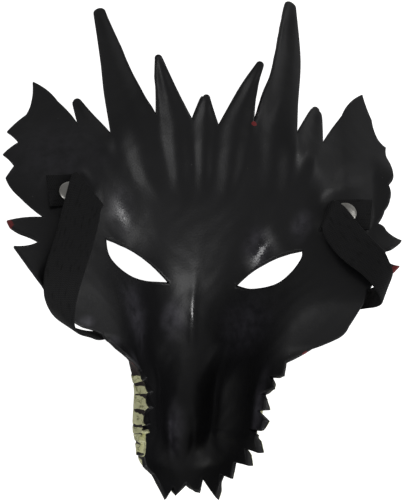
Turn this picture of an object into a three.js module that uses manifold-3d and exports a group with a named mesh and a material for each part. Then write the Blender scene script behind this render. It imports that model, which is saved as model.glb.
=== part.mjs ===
// Dragon half mask: a moulded foam face with horns, side fins, muzzle and teeth, and a riveted elastic.
// Millimetres, +Z up. The mask lies face down, so its inner side looks up. X runs to the right as seen
// from above, Y towards the horns. It rests on the snout and on the tips of the two long horns.
// The origin is under the middle of the whole object, on the surface that it lies on.

import * as THREE from 'three';
import Module from 'manifold-3d';
import { mergeVertices } from 'three/addons/utils/BufferGeometryUtils.js';

const wasm = await Module();
wasm.setup();

// Driving dimensions of the moulded face.
const MUZZLE_FRONT = -100; // centre of the rounded front end of the muzzle
const RIDGE_LOW = 5; // height of the inner ridge line at the snout
const RIDGE_RISE = 48; // how much higher the forehead lies
const MUZZLE_HALF = 27.8; // half width of the muzzle where its walls turn up
const WALL_ROUND = 12; // how softly the walls turn up
const LIP_ROUND = 9; // how softly the cheeks and the lip turn outwards
const MUZZLE_SWELLING = 8; // how far the muzzle's sides stand inwards beside its floor
const NOSE_SWELLING = 4.5; // how far the bridge of the nose stands inwards
const MUZZLE_SKEW = 0.04; // how far the soft muzzle leans to the right for each mm of height
const MUZZLE_TAPER = 0.09; // how much narrower the muzzle is at its front
const CROWN_BEND_LEFT = 32; // degrees by which the crown bends forward
const CROWN_BEND_RIGHT = 30;
const FIN_CURL = 7; // how far the right fin's margin curls up
const GROOVE = 1.8; // depth of the grooves behind the horns
const FOAM = 3.6; // thickness of the foam
const FOAM_EDGE = 1.9; // its thickness at the outline
const EDGE_WIDTH = 6; // the foam thins over this distance
const SHIFT_X = 1.32; // the whole object is moved so that its box is centred on the origin
const SHIFT_Y = -8.32;

// Strap and rivets.
const STRAP_THICK = 1.2;
const GAP = 0.3;
const CAP_RADIUS = 6.3;
const CAP_HEIGHT = 2;
const SHANK_RADIUS = 1.9;
const BACK_RADIUS = 5;
const BACK_HEIGHT = 1.4;
const RIVET_SIDES = 20;
const PAD_FLAT = 11; // the foam is flat under the riveted end as far as this
const PAD_BLEND = 20;
const PAD_FOAM = 2.6;

const radians = (degrees) => degrees * Math.PI / 180;
const mix = (a, b, t) => a + (b - a) * t;

// Smooth step from 0 at a to 1 at b.
function ease(x, a, b) {
  const t = Math.min(Math.max((x - a) / (b - a), 0), 1);
  return t * t * (3 - 2 * t);
}

// A ramp that is 0 far below zero and x far above it, with a rounded corner of width w.
function ramp(x, w) {
  const q = x / w;
  return q > 30 ? x : w * Math.log1p(Math.exp(q));
}

// A rounded ridge of height 1: 1 on its line, 0 at the half width.
function crest(distance, half) {
  return Math.cos(0.5 * Math.PI * Math.min(Math.abs(distance) / half, 1)) ** 2;
}

// The horns, left to right, laid flat: where each side starts, points up its left side, the tip and its
// radius, and points down its right side.
const HORNS = [
  { left: [-74.5, 72.5], up: [[-77.5, 91]], tip: [-76, 95], round: 2, down: [[-66.5, 80.5]] },
  { left: [-57, 64], up: [[-60, 93], [-61.5, 121]], tip: [-62, 163], round: 3, down: [[-48, 116], [-40.5, 94]] },
  { left: [-31, 75], up: [[-32.5, 95]], tip: [-31.5, 110], round: 2, down: [[-19, 90.5]] },
  { left: [-9.5, 74.5], up: [[-5, 87]], tip: [-1.5, 89.5], round: 1.8, down: [[3.5, 78.5]] },
  { left: [6, 72], up: [[17.5, 95]], tip: [29, 110.5], round: 2, down: [[27.5, 95.5]] },
  { left: [26.5, 75], up: [[35, 101.5], [40.5, 121]], tip: [56, 174], round: 3.6, down: [[59, 129.5], [54.5, 93.5]] },
  { left: [52.5, 72], up: [[62.5, 91.5]], tip: [68, 97.5], round: 2, down: [[71, 91]] },
];
const CROWN_END = [70, 71];

// Corners of the two sides, laid flat. The third number is how far the stretch before it bows out.
const RIGHT_SIDE = [
  [85.5, 96.5, 0.5], [101, 114.5, 2], [106, 95.5, -0.5], [108, 84, -0.5], [114.5, 76, -1], [114, 68, -0.5],
  [116, 54, 1], [112, 48, 0.5], [112.5, 38, 1], [109, 30, 0.5], [105.5, 21, 0.5], [111, 17, 1],
  [121.5, 11, -1], [112, 4, 1], [113.5, -1.5, 0], [124, -5.5, -1], [122.5, -10, 0], [115, -16, 0],
  [115, -20, 0.5], [118, -27.5, 0], [118.5, -42, 0.5], [116, -48.5, 1], [103.5, -54.5, 0.5], [90.5, -62.5, 0.5],
];
const LEFT_SIDE = [
  [-91, -63, 0], [-94.5, -59, 0], [-97.5, -56, -0.5], [-100, -53, 0], [-105, -51.5, 0], [-111.5, -50.5, 0],
  [-123, -42, 1], [-126, -30, 0.5], [-126, -14.5, 0.5], [-126, -7.5, 0], [-109.5, -3.5, -1],
  [-116, 0.5, -0.5], [-122, 5, 0.5], [-122.5, 8.5, 0], [-99.5, 11.5, 1], [-111.5, 24, 0.5],
  [-118.5, 36.5, 1], [-113, 45, 0], [-120, 53, -0.5], [-110.5, 62, 0.5], [-117.5, 70, -0.5],
  [-106, 82.5, 0.5], [-102.5, 93, -0.5], [-101.5, 108.5, -0.5], [-86.5, 93.5, 1.5],
];
const CROWN_START_BOW = 1.5;

// The lip, laid flat, is half of a squarish ellipse. The teeth are corners beside it, each at an angle
// along it and so far out.
const LIP = { across: 79, depth: 67, top: -67, power: 2.4 };
const TEETH = [
  [1, 14.5], [1.5, 3], [5, 12], [8.5, 0], [9.5, 7], [13.5, 9], [16, 0], [17.5, 11.5], [22.5, 12],
  [27.5, -3.5], [29, 11.5], [42.5, 21.5], [46, 5.5], [55.5, 16], [61, 2.5], [67, 8], [69, 10.5],
  [73, 2], [75, 7], [79.5, 16.5], [82.5, -1], [85, 8], [86.5, 7.5], [89, 1], [92, 10.5], [93, 5],
  [96, 16], [99, 7.5], [104, 2.5], [112, 3.5], [118, 0.5], [124, 7.5], [130, 0], [136.5, 9.5],
  [141, 1], [146, 10], [151, 0.5], [156.5, 9], [160, 1], [165, 10], [168, 1.5], [171, 8], [173.5, 1],
  [176, 6], [178, 0.5],
];

// Eye holes, laid flat: the corners, how far the upper side bows out, and points along the lower side.
const EYES = [
  { inner: [-17.5, -18], outer: [-64, 2.5], upper: 3, lower: [[-66, -9], [-56, -16.5], [-37.5, -19]] },
  { inner: [27.5, -18], outer: [63.5, 2.5], upper: 3.6, lower: [[65, -2.5], [62.5, -11], [55.5, -17.5], [39, -20]] },
];

// Hollows behind the brows: middle, half width, half length, turn in degrees and depth.
const BROWS = [
  { at: [-48.5, 15], wide: 13, long: 24, turn: -20, depth: 1 },
  { at: [38, 3], wide: 12, long: 20, turn: 30, depth: 1 },
  { at: [53, 17], wide: 12, long: 16, turn: 0, depth: 0.7 },
];
const RIVETS = [{ name: 'rivet_left', at: [-81, 27] }, { name: 'rivet_right', at: [84, 25] }];
const SHANK_HOLE = SHANK_RADIUS + GAP;

// Height, wall angles and radii of the cross section at v. Front is 0 at the sides, 1 straight ahead.
function section(v, front, side) {
  const ridge = RIDGE_LOW + RIDGE_RISE * ease(v, -80, 65);
  const wall = mix(mix(86, 10, ease(v, -85, 50)), 45, front * front);
  const start = mix(mix(MUZZLE_HALF, 6, ease(v, -80, 10)), 24, front);
  const hollow = 7 - 4 * ease(v, -90, -60) + 6 * ease(v, -10, 40);
  const lipStart = 80 + 8 * ease(v, -30, 10) - 6 * ease(v, 10, 60);
  const muzzleLip = side > 0 ? 70 : 124;
  const cheek = mix(mix(muzzleLip, 22, ease(v, -85, -52)), -25, ease(v, -30, 25));
  const flap = mix(cheek, 60, front);
  return { ridge, wall: radians(wall), start, hollow, lipStart, flap: radians(flap) };
}

// Folds the flat pattern into the inner face. The distance from the ridge line runs first along the
// floor of the section, then up its wall, then out along the cheek or fin. In front of the muzzle's
// centre the distance is taken round that centre, so the wall closes round the snout.
function foldPattern(u, v) {
  const axis = Math.max(v, MUZZLE_FRONT);
  const ahead = Math.min(v - MUZZLE_FRONT, 0);
  const reach = Math.max(Math.hypot(u, ahead), 1e-6);
  const s = section(axis, -ahead / reach, u);
  const bowl = Math.hypot(reach, s.hollow);
  const rise = ramp(bowl - s.start, WALL_ROUND) - ramp(s.hollow - s.start, WALL_ROUND);
  const past = ramp(reach - s.lipStart, LIP_ROUND) - ramp(-s.lipStart, LIP_ROUND);
  const radius = reach + (Math.cos(s.wall) - 1) * rise + (Math.cos(s.flap) - Math.cos(s.wall)) * past;
  let z = s.ridge + Math.sin(s.wall) * rise + (Math.sin(s.flap) - Math.sin(s.wall)) * past;
  let x = u / reach * radius;
  let y = axis + ahead / reach * radius;
  const width = Math.abs(u);
  const hornGap = (u > 0 ? 26.5 : 31) + 0.22 * Math.min(Math.max(v - 75, 0), 55);
  const bendLine = 74 - 42 * ease(width, 38, 84) + 9 * (1 - ease(width - hornGap, 0, 14));
  const bend = radians(u > 0 ? CROWN_BEND_RIGHT : CROWN_BEND_LEFT);
  const beyond = ramp(v - bendLine, 8) * ease(width - hornGap, -3, 3);
  y -= (1 - Math.cos(bend)) * beyond;
  z -= Math.sin(bend) * beyond;
  x *= 1 - MUZZLE_TAPER * ease(-v, 80, 125);
  x += MUZZLE_SKEW * (1 - ease(v, -80, -30)) * (z - 10);
  z += FIN_CURL * ease(u, 100, 118) * ease(v, -16, 4) * (1 - ease(v, 50, 75));
  return new THREE.Vector3(x, y, z);
}

// The upward normal of the folded face, from two small steps on the pattern.
function foldNormal(u, v, fold = foldPattern) {
  const step = 0.5;
  const along = fold(u + step, v).sub(fold(u - step, v));
  const across = fold(u, v + step).sub(fold(u, v - step));
  return along.cross(across).normalize();
}

// Each rivet's pad: centre, normal and the two directions of the flat disc.
const pads = RIVETS.map(({ name, at: [u, v] }) => {
  const centre = foldPattern(u, v);
  const normal = foldNormal(u, v);
  const right = foldPattern(u + 1, v).sub(foldPattern(u - 1, v)).normalize();
  const up = normal.clone().cross(right);
  return { name, u, v, centre, normal, right, up };
});

// The inner face without its grooves: the folded pattern, flat under each rivet.
function innerFace(u, v) {
  const point = foldPattern(u, v);
  for (const pad of pads) {
    const away = Math.hypot(u - pad.u, v - pad.v);
    if (away < PAD_BLEND) {
      const flat = pad.centre.clone().addScaledVector(pad.right, u - pad.u).addScaledVector(pad.up, v - pad.v);
      point.lerp(flat, 1 - ease(away, PAD_FLAT, PAD_BLEND));
    }
  }
  return point;
}

// A horn's line runs straight from a foot low on the forehead to the middle of its root, and from there
// to the tip, with a soft turn at the root.
const HORN_FEET = [[-52, 36], [-28, 24], [-12, 24], [-1, 26], [12, 24], [39, 28], [53, 36]];
const HORN_TURN = 4;
const hornLines = HORNS.map(({ left, tip }, i) => {
  const next = HORNS[i + 1]?.left ?? CROWN_END;
  const root = [(left[0] + next[0]) / 2, (left[1] + next[1]) / 2];
  return { foot: HORN_FEET[i], root, tip, half: Math.hypot(next[0] - left[0], next[1] - left[1]) / 2 };
});

// The horns' relief: 1 along each horn's line, fading down the forehead and out at its sides.
function hornRelief(u, v) {
  let total = 0;
  for (const { foot, root, tip, half } of hornLines) {
    const below = (root[0] - foot[0]) / (root[1] - foot[1]);
    const above = (tip[0] - root[0]) / (tip[1] - root[1]);
    const aside = u - foot[0] - below * (v - foot[1]) - (above - below) * ramp(v - root[1], HORN_TURN);
    const along = (v - foot[1]) / (tip[1] - foot[1]);
    const start = (root[1] - foot[1]) / (tip[1] - foot[1]);
    const narrow = along < start ? mix(0.7, 1, along / start) : mix(1, 0.2, (along - start) / (1 - start));
    const size = Math.min(half / 10, 1.1);
    const fade = ease(v - foot[1], 0, 22) * (1 - ease(along, 0.85, 1.02));
    total += size * crest(aside, half * Math.min(Math.max(narrow, 0.15), 1)) * fade;
  }
  return total;
}

// How far the face is hollowed behind the horns and brows. It is less than nothing beside the muzzle's
// floor and over the nose, where the face stands inwards.
function innerHollow(u, v) {
  const reach = Math.hypot(u, Math.min(v - MUZZLE_FRONT, 0));
  const beside = ease(reach, 3, 28) * (1 - ease(reach, 36, 62));
  const muzzle = ease(v, -128, -104) * (1 - ease(v, -78, -48));
  const nose = crest(u, 30) * ease(v, -42, -8) * (1 - ease(v, -4, 80));
  let hollow = GROOVE * hornRelief(u, v) - MUZZLE_SWELLING * beside * muzzle - NOSE_SWELLING * nose;
  for (const { at, wide, long, turn, depth } of BROWS) {
    const cos = Math.cos(radians(turn));
    const sin = Math.sin(radians(turn));
    const across = (u - at[0]) * cos + (v - at[1]) * sin;
    const along = (v - at[1]) * cos - (u - at[0]) * sin;
    hollow += depth * crest(Math.hypot(across / wide, along / long), 1);
  }
  return hollow;
}

// Distance from a point to a straight stretch.
function stretchDistance(u, v, [u0, v0], [u1, v1]) {
  const du = u1 - u0;
  const dv = v1 - v0;
  const t = Math.min(Math.max(((u - u0) * du + (v - v0) * dv) / (du * du + dv * dv), 0), 1);
  return Math.hypot(u - u0 - t * du, v - v0 - t * dv);
}

// Ribs of the fins and ridges of the cheeks, on the outer face: from, to, height, half width.
const RIDGES = [
  { from: [14, -10], to: [38, 7], height: 4.5, half: 8 },
  { from: [38, 7], to: [70, 15], height: 4.5, half: 8 },
  { from: [78, 36], to: [101, 106], height: 2, half: 5 },
  { from: [80, 34], to: [116, 66], height: 1.8, half: 5 },
  { from: [80, 30], to: [118, 50], height: 1.6, half: 5 },
  { from: [82, 24], to: [118, 33], height: 1.6, half: 5 },
  { from: [80, 14], to: [124, 9], height: 2.2, half: 5.5 },
  { from: [60, -24], to: [125, -9], height: 3, half: 7 },
];

// What stands proud of the foam on the outer face.
function outerRelief(u, v) {
  const width = Math.abs(u);
  let relief = 0;
  for (const { from, to, height, half } of RIDGES) {
    relief = Math.max(relief, height * crest(stretchDistance(width, v, from, to), half));
  }
  const ridgeHalf = mix(11, 7, ease(v, -95, -60));
  const ridge = crest(u, ridgeHalf) * ease(v, -122, -108) * (1 - ease(v, 0, 22));
  const underStrap = ease(v, -58, -48) * (1 - ease(v, -18, -8));
  relief = Math.max(relief, ridge * mix(2.6, 0.8, underStrap));
  relief = Math.max(relief, 4.5 * crest(Math.hypot(width - 13, v + 121), 10));
  const lip = (lipLevel(u, v) - 0.93) * LIP.across;
  relief = Math.max(relief, 2 * crest(lip, 7) * (1 - ease(v, -70, -60)));
  return Math.max(relief, 3 * hornRelief(u, v));
}

// 1 on the lip, less inside it.
function lipLevel(u, v) {
  const across = (Math.abs(u) / LIP.across) ** LIP.power;
  const down = (Math.max(LIP.top - v, 0) / LIP.depth) ** LIP.power;
  return (across + down) ** (1 / LIP.power);
}

// Points of a stretch from a to b that bows out to its left by the given amount, without b.
function bowed(a, b, bow, steps) {
  const length = Math.hypot(b[0] - a[0], b[1] - a[1]);
  const side = [-(b[1] - a[1]) / length, (b[0] - a[0]) / length];
  const points = [];
  for (let i = 0; i < steps; i++) {
    const t = i / steps;
    const out = 4 * t * (1 - t) * bow;
    points.push([mix(a[0], b[0], t) + side[0] * out, mix(a[1], b[1], t) + side[1] * out]);
  }
  return points;
}

// One horn: up its left side, round the tip, down its right side.
function hornOutline(horn, next) {
  const foot = [(horn.left[0] + next[0]) / 2, (horn.left[1] + next[1]) / 2];
  const length = Math.hypot(horn.tip[0] - foot[0], horn.tip[1] - foot[1]);
  const dir = [(horn.tip[0] - foot[0]) / length, (horn.tip[1] - foot[1]) / length];
  const centre = [horn.tip[0] - dir[0] * horn.round, horn.tip[1] - dir[1] * horn.round];
  const round = (angle) => [
    centre[0] + horn.round * (dir[0] * Math.cos(angle) - dir[1] * Math.sin(angle)),
    centre[1] + horn.round * (dir[1] * Math.cos(angle) + dir[0] * Math.sin(angle)),
  ];
  const steps = length > 60 ? 7 : 3;
  const side = (...corners) => {
    const curve = new THREE.SplineCurve(corners.map(([u, v]) => new THREE.Vector2(u, v)));
    return curve.getPoints(steps).map((p) => [p.x, p.y]);
  };
  const tipAngles = [1, 0.35, -0.35, -1].map((q) => q * Math.PI / 2);
  const up = side(horn.left, ...horn.up, round(tipAngles[0]));
  const down = side(round(tipAngles[3]), ...horn.down, next);
  return [...up, round(tipAngles[1]), round(tipAngles[2]), ...down.slice(0, -1)];
}

function lipPoint(degrees, out) {
  const angle = radians(degrees);
  const power = 2 / LIP.power;
  const u = Math.sign(Math.cos(angle)) * Math.abs(Math.cos(angle)) ** power;
  const v = Math.abs(Math.sin(angle)) ** power;
  return [u * (LIP.across + out), LIP.top - v * (LIP.depth + out)];
}

// The whole outline, laid flat, clockwise from the notch beside the left fin.
function maskOutline() {
  const points = [];
  HORNS.forEach((horn, i) => points.push(...hornOutline(horn, HORNS[i + 1]?.left ?? CROWN_END)));
  const side = (start, corners) => {
    let last = start;
    for (const [u, v, bow] of corners) {
      points.push(...bowed(last, [u, v], bow, Math.abs(bow) < 1 ? 1 : 2));
      last = [u, v];
    }
    return last;
  };
  points.push(side(CROWN_END, RIGHT_SIDE));
  for (const [angle, out] of TEETH) {
    points.push(lipPoint(angle, out));
  }
  const last = side(LEFT_SIDE[0], LEFT_SIDE.slice(1));
  points.push(...bowed(last, HORNS[0].left, CROWN_START_BOW, 2));
  return points;
}

function eyeOutline({ inner, outer, upper, lower }) {
  const corners = [outer, ...lower, inner].map(([u, v]) => new THREE.Vector2(u, v));
  const below = new THREE.SplineCurve(corners).getPoints(10).map((p) => [p.x, p.y]);
  return [...bowed(inner, outer, Math.sign(outer[0]) * upper, 6), ...below.slice(0, -1)];
}

function circle([u, v], radius, sides) {
  const points = [];
  for (let i = 0; i < sides; i++) {
    const angle = 2 * Math.PI * i / sides;
    points.push([u + radius * Math.cos(angle), v + radius * Math.sin(angle)]);
  }
  return points;
}

const outline = maskOutline();
const eyeOutlines = EYES.map(eyeOutline);

function ringDistance(u, v, ring) {
  return Math.min(...ring.map((p, i) => stretchDistance(u, v, p, ring[(i + 1) % ring.length])));
}

// Foam thickness: full in the middle, thin at the outline, a little thinner round the eyes and rivets.
function foamThickness(u, v) {
  const edge = ease(ringDistance(u, v, outline), 0, EDGE_WIDTH);
  const eye = ease(Math.min(...eyeOutlines.map((ring) => ringDistance(u, v, ring))), 0, 5);
  const full = mix(FOAM_EDGE, FOAM, edge) * mix(0.75, 1, eye) + outerRelief(u, v) * edge * mix(0.4, 1, eye);
  const away = Math.min(...pads.map((pad) => Math.hypot(u - pad.u, v - pad.v)));
  return mix(PAD_FOAM, full, ease(away, PAD_FLAT, PAD_BLEND));
}

// Turns a closed geometry into a solid for joining and cutting, and back.
function toSolid(geometry) {
  const plain = geometry.clone();
  plain.deleteAttribute('normal');
  plain.deleteAttribute('uv');
  const merged = mergeVertices(plain, 1e-5);
  const vertProperties = new Float32Array(merged.attributes.position.array);
  const triVerts = new Uint32Array(merged.index.array);
  return new wasm.Manifold(new wasm.Mesh({ numProp: 3, vertProperties, triVerts }));
}

function toGeometry(solid) {
  const mesh = solid.getMesh();
  const positions = new Float32Array(mesh.numVert * 3);
  for (let i = 0; i < mesh.numVert; i++) {
    for (let k = 0; k < 3; k++) {
      positions[3 * i + k] = mesh.vertProperties[mesh.numProp * i + k];
    }
  }
  const geometry = new THREE.BufferGeometry();
  geometry.setAttribute('position', new THREE.BufferAttribute(positions, 3));
  geometry.setIndex([...mesh.triVerts]);
  return geometry;
}

// Places of grid lines: closer together in the middle, where the muzzle's walls and the grooves are.
function gridLines(stops) {
  const lines = [stops[0][0]];
  for (let i = 1; i < stops.length; i++) {
    const [from] = stops[i - 1];
    const [to, spacing] = stops[i];
    const count = Math.round((to - from) / spacing);
    for (let k = 1; k <= count; k++) {
      lines.push(from + (to - from) * k / count);
    }
  }
  return lines;
}
const SLAB = 10; // height of the flat slab, which becomes the thickness of the foam
const U_LINES = gridLines([[-135, 0], [-66, 7], [66, 4], [135, 7]]);
const V_LINES = gridLines([[-156, 0], [-60, 6], [20, 5.8], [84, 6.4], [180, 11]]);

// A flat slab, gridded above and below, that the outline is cut from.
function griddedSlab() {
  const nu = U_LINES.length;
  const nv = V_LINES.length;
  const positions = [];
  for (const w of [0, SLAB]) {
    for (const v of V_LINES) {
      for (const u of U_LINES) {
        positions.push(u, v, w);
      }
    }
  }
  const index = [];
  const at = (i, j, top) => top * nu * nv + j * nu + i;
  const quad = (a, b, c, d) => index.push(a, b, c, a, c, d);
  for (let j = 0; j < nv - 1; j++) {
    for (let i = 0; i < nu - 1; i++) {
      quad(at(i, j, 1), at(i + 1, j, 1), at(i + 1, j + 1, 1), at(i, j + 1, 1));
      quad(at(i, j, 0), at(i, j + 1, 0), at(i + 1, j + 1, 0), at(i + 1, j, 0));
    }
  }
  for (let i = 0; i < nu - 1; i++) {
    quad(at(i, 0, 0), at(i + 1, 0, 0), at(i + 1, 0, 1), at(i, 0, 1));
    quad(at(i, nv - 1, 0), at(i, nv - 1, 1), at(i + 1, nv - 1, 1), at(i + 1, nv - 1, 0));
  }
  for (let j = 0; j < nv - 1; j++) {
    quad(at(0, j, 0), at(0, j, 1), at(0, j + 1, 1), at(0, j + 1, 0));
    quad(at(nu - 1, j, 0), at(nu - 1, j + 1, 0), at(nu - 1, j + 1, 1), at(nu - 1, j, 1));
  }
  const geometry = new THREE.BufferGeometry();
  geometry.setAttribute('position', new THREE.Float32BufferAttribute(positions, 3));
  geometry.setIndex(index);
  return geometry;
}

// The moulded shell: the slab cut to the outline, then folded, with hollows within and relief without.
function maskShell() {
  const vectors = (ring) => ring.map(([u, v]) => new THREE.Vector2(u, v));
  const shape = new THREE.Shape(vectors([...outline].reverse()));
  const holes = [...eyeOutlines, ...RIVETS.map(({ at }) => circle(at, SHANK_HOLE, 10))];
  shape.holes = holes.map((ring) => new THREE.Path(vectors(ring)));
  const prism = new THREE.ExtrudeGeometry(shape, { depth: 3 * SLAB, bevelEnabled: false });
  prism.translate(0, 0, -SLAB);
  const flat = toSolid(griddedSlab()).intersect(toSolid(prism));
  const geometry = toGeometry(flat);
  const position = geometry.attributes.position;
  for (let i = 0; i < position.count; i++) {
    const u = position.getX(i);
    const v = position.getY(i);
    const hollow = innerHollow(u, v);
    const inward = position.getZ(i) > SLAB / 2;
    const depth = inward ? hollow : hollow + foamThickness(u, v);
    const point = innerFace(u, v).addScaledVector(foldNormal(u, v, innerFace), -depth);
    position.setXYZ(i, point.x, point.y, Math.max(point.z, 0));
  }
  return geometry;
}

// A place on the strap's route: on the mask's inner face, lifted off it, by flat coordinates.
const over = (u, v, lift) => innerFace(u, v).addScaledVector(foldNormal(u, v, innerFace), lift);
// A place clear of the mask, by its own coordinates.
const free = (x, y, z) => new THREE.Vector3(x, y, z);

// The strap's route, as pairs of edge points: from its end at the left rivet, folded over, down the
// cheek, round the edge, across the front of the nose, round the right edge and up to the right rivet.
const STRAP_ROUTE = [
  [over(-94, 37, 1.8), over(-94, 17, 1.8)],
  [over(-86, 38, 1.1), over(-86, 18, 1.1)],
  [over(-78, 39, 1.3), over(-67, 20.5, 2)],
  [over(-77.5, 39, 2.7), over(-64.5, 20, 3.6)],
  [over(-78.5, 38.5, 4.4), over(-65, 19.5, 5)],
  [over(-81, 34, 5.8), over(-67.5, 16, 6.2)],
  [over(-85, 17, 6.2), over(-70, 8.5, 5.8)],
  [over(-101, -3, 6), over(-83, -8.5, 5)],
  [over(-120, -21, 5), over(-98.5, -23.5, 4.4)],
  [over(-128, -30, 4.2), over(-111, -36.5, 4)],
  [free(-91.5, -38, 84), free(-74.5, -49, 82)],
  [free(-84, -45.5, 72), free(-71.5, -54, 78)],
  [free(-70, -50.3, 59), free(-64.5, -55.8, 77)],
  [free(-56, -49.3, 49), free(-57.5, -56, 67)],
  [free(-43, -41, 39), free(-45, -51, 50)],
  [over(-26, -25, -7), over(-26, -44, -8)],
  [over(-12, -24, -6), over(-12, -43, -6)],
  [over(0, -24, -6), over(0, -43, -6)],
  [over(12, -24, -6), over(12, -43, -6)],
  [over(26, -25, -7), over(26, -44, -8)],
  [free(64, -22, 48), free(62, -41, 52)],
  [free(84, -20, 55), free(79, -33, 68)],
  [free(97, -17.5, 64), free(89.5, -31, 78)],
  [free(101.5, -13.5, 72), free(94.5, -30.5, 85)],
  [free(103.5, -14, 79), free(97, -28.5, 89)],
  [free(104, -9.5, 84), free(95, -24.5, 91.5)],
  [over(118, -6, 4.6), over(116.5, -19.5, 5)],
  [over(113, 0, 5), over(107.5, -14, 5)],
  [over(103.5, 7.5, 5.6), over(97, -8.5, 5)],
  [over(90, 16, 6), over(86.5, -2, 5.6)],
  [over(83, 26, 6), over(76, 7.5, 6)],
  [over(77, 30.5, 5.6), over(71.7, 14.5, 6.2)],
  [over(75, 30.5, 3.6), over(71.5, 11.5, 4.4)],
  [over(76.5, 32.5, 1.5), over(75, 13, 1.9)],
  [over(82, 34, 1), over(82, 14.5, 1)],
  [over(92, 35, 1.05), over(92, 15, 1.1)],
  [over(100, 35, 2), over(100, 15, 2.2)],
];

// The flat elastic: its edges follow the route, and its thickness stands off the line between them.
function ribbon(route, stepsPerStation, thickness) {
  const edges = [0, 1].map((k) => new THREE.CatmullRomCurve3(route.map((pair) => pair[k]), false, 'catmullrom', 0.5));
  const count = (route.length - 1) * stepsPerStation;
  const positions = [];
  const at = (k, i) => edges[k].getPoint(Math.min(Math.max(i / count, 0), 1));
  for (let i = 0; i <= count; i++) {
    const run = at(0, i + 0.5).add(at(1, i + 0.5)).sub(at(0, i - 0.5)).sub(at(1, i - 0.5));
    const width = at(1, i).sub(at(0, i));
    const proud = run.cross(width).normalize().multiplyScalar(thickness / 2);
    for (const corner of [at(0, i).sub(proud), at(1, i).sub(proud), at(1, i).add(proud), at(0, i).add(proud)]) {
      positions.push(corner.x, corner.y, corner.z);
    }
  }
  const index = [];
  const quad = (a, b, c, d) => index.push(a, b, c, a, c, d);
  for (let i = 0; i < count; i++) {
    for (let k = 0; k < 4; k++) {
      const next = (k + 1) % 4;
      quad(4 * i + k, 4 * i + next, 4 * i + 4 + next, 4 * i + 4 + k);
    }
  }
  quad(3, 2, 1, 0);
  quad(4 * count, 4 * count + 1, 4 * count + 2, 4 * count + 3);
  const geometry = new THREE.BufferGeometry();
  geometry.setAttribute('position', new THREE.Float32BufferAttribute(positions, 3));
  geometry.setIndex(index);
  return geometry;
}

// The elastic, with a hole for each rivet's shank.
function headStrap() {
  let solid = toSolid(ribbon(STRAP_ROUTE, 2, STRAP_THICK));
  for (const pad of pads) {
    const drill = new THREE.CylinderGeometry(SHANK_HOLE, SHANK_HOLE, 4, RIVET_SIDES);
    drill.translate(0, 1, 0);
    drill.applyQuaternion(padTurn(pad));
    drill.translate(pad.centre.x, pad.centre.y, pad.centre.z);
    solid = solid.subtract(toSolid(drill));
  }
  return toGeometry(solid);
}

// The turn that stands a piece modelled along Y upright on a rivet's pad.
const padTurn = (pad) => new THREE.Quaternion().setFromUnitVectors(new THREE.Vector3(0, 1, 0), pad.normal);

// A rivet: domed cap over the elastic, shank through elastic and foam, flat cap on the outer face.
function rivet() {
  const under = 1 + STRAP_THICK / 2 + GAP;
  const back = -PAD_FOAM - GAP;
  const profile = [
    [0, back - BACK_HEIGHT], [BACK_RADIUS * 0.8, back - BACK_HEIGHT], [BACK_RADIUS, back - BACK_HEIGHT / 2],
    [BACK_RADIUS, back], [SHANK_RADIUS, back], [SHANK_RADIUS, under], [CAP_RADIUS, under],
  ];
  for (const angle of [20, 50, 90]) {
    const rise = CAP_HEIGHT * Math.sin(radians(angle));
    profile.push([angle === 90 ? 0 : CAP_RADIUS * Math.cos(radians(angle)), under + rise]);
  }
  return new THREE.LatheGeometry(profile.map(([r, h]) => new THREE.Vector2(r, h)), RIVET_SIDES);
}

const foam = new THREE.MeshStandardMaterial({ color: '#1d1c1f', roughness: 0.45, metalness: 0 });
const elastic = new THREE.MeshStandardMaterial({ color: '#161616', roughness: 0.9, metalness: 0 });
const nickel = new THREE.MeshStandardMaterial({ color: '#b9b9b4', roughness: 0.3, metalness: 1 });
const group = new THREE.Group();

function add(name, geometry, material) {
  const mesh = new THREE.Mesh(geometry, material);
  mesh.name = name;
  group.add(mesh);
  return mesh;
}

add('mask_shell', maskShell(), foam);
add('head_strap', headStrap(), elastic);
for (const pad of pads) {
  const mesh = add(pad.name, rivet(), nickel);
  mesh.position.copy(pad.centre);
  mesh.quaternion.copy(padTurn(pad));
}
group.position.set(SHIFT_X, SHIFT_Y, 0);

export default group;
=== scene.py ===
"""Dragon half mask in moulded foam, with its elastic and rivets: the finished look of every piece.

The face is a flat pattern that is folded up. A place on the pattern is (u, v) in millimetres: u runs
to the right of the ridge line and v towards the horns. fold_pattern turns the pattern into the inner
face, and the shell, the elastic and the rivets are all placed on that face. Meshes are in metres.
"""

import bpy
import numpy as np
from bpy.props import FloatProperty, FloatVectorProperty, IntProperty, PointerProperty
from mathutils import Matrix, Vector
from mathutils.geometry import delaunay_2d_cdt


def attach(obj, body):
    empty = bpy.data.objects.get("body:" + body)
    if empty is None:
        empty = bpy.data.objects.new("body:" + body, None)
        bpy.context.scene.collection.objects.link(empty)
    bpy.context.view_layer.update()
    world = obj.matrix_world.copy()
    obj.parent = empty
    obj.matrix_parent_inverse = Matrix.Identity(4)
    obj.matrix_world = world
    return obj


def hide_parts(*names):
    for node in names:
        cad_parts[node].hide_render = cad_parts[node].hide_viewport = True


bl_info = {
    "name": "Dragon half mask",
    "version": (1, 0, 0),
    "blender": (4, 5, 0),
    "location": "View3D > Sidebar > Dragon mask",
    "description": "Builds a moulded foam dragon half mask with its elastic and rivets",
    "category": "Object",
}

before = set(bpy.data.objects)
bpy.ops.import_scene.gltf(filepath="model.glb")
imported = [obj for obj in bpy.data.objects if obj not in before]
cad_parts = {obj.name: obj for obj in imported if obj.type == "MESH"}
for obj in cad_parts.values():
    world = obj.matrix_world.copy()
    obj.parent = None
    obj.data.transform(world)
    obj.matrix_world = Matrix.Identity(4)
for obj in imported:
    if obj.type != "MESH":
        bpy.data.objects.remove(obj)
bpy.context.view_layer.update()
MM = 0.001

# From the face's own frame to the part's, in millimetres.
SHIFT = np.array([1.32, -8.32, 0.0])

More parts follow.
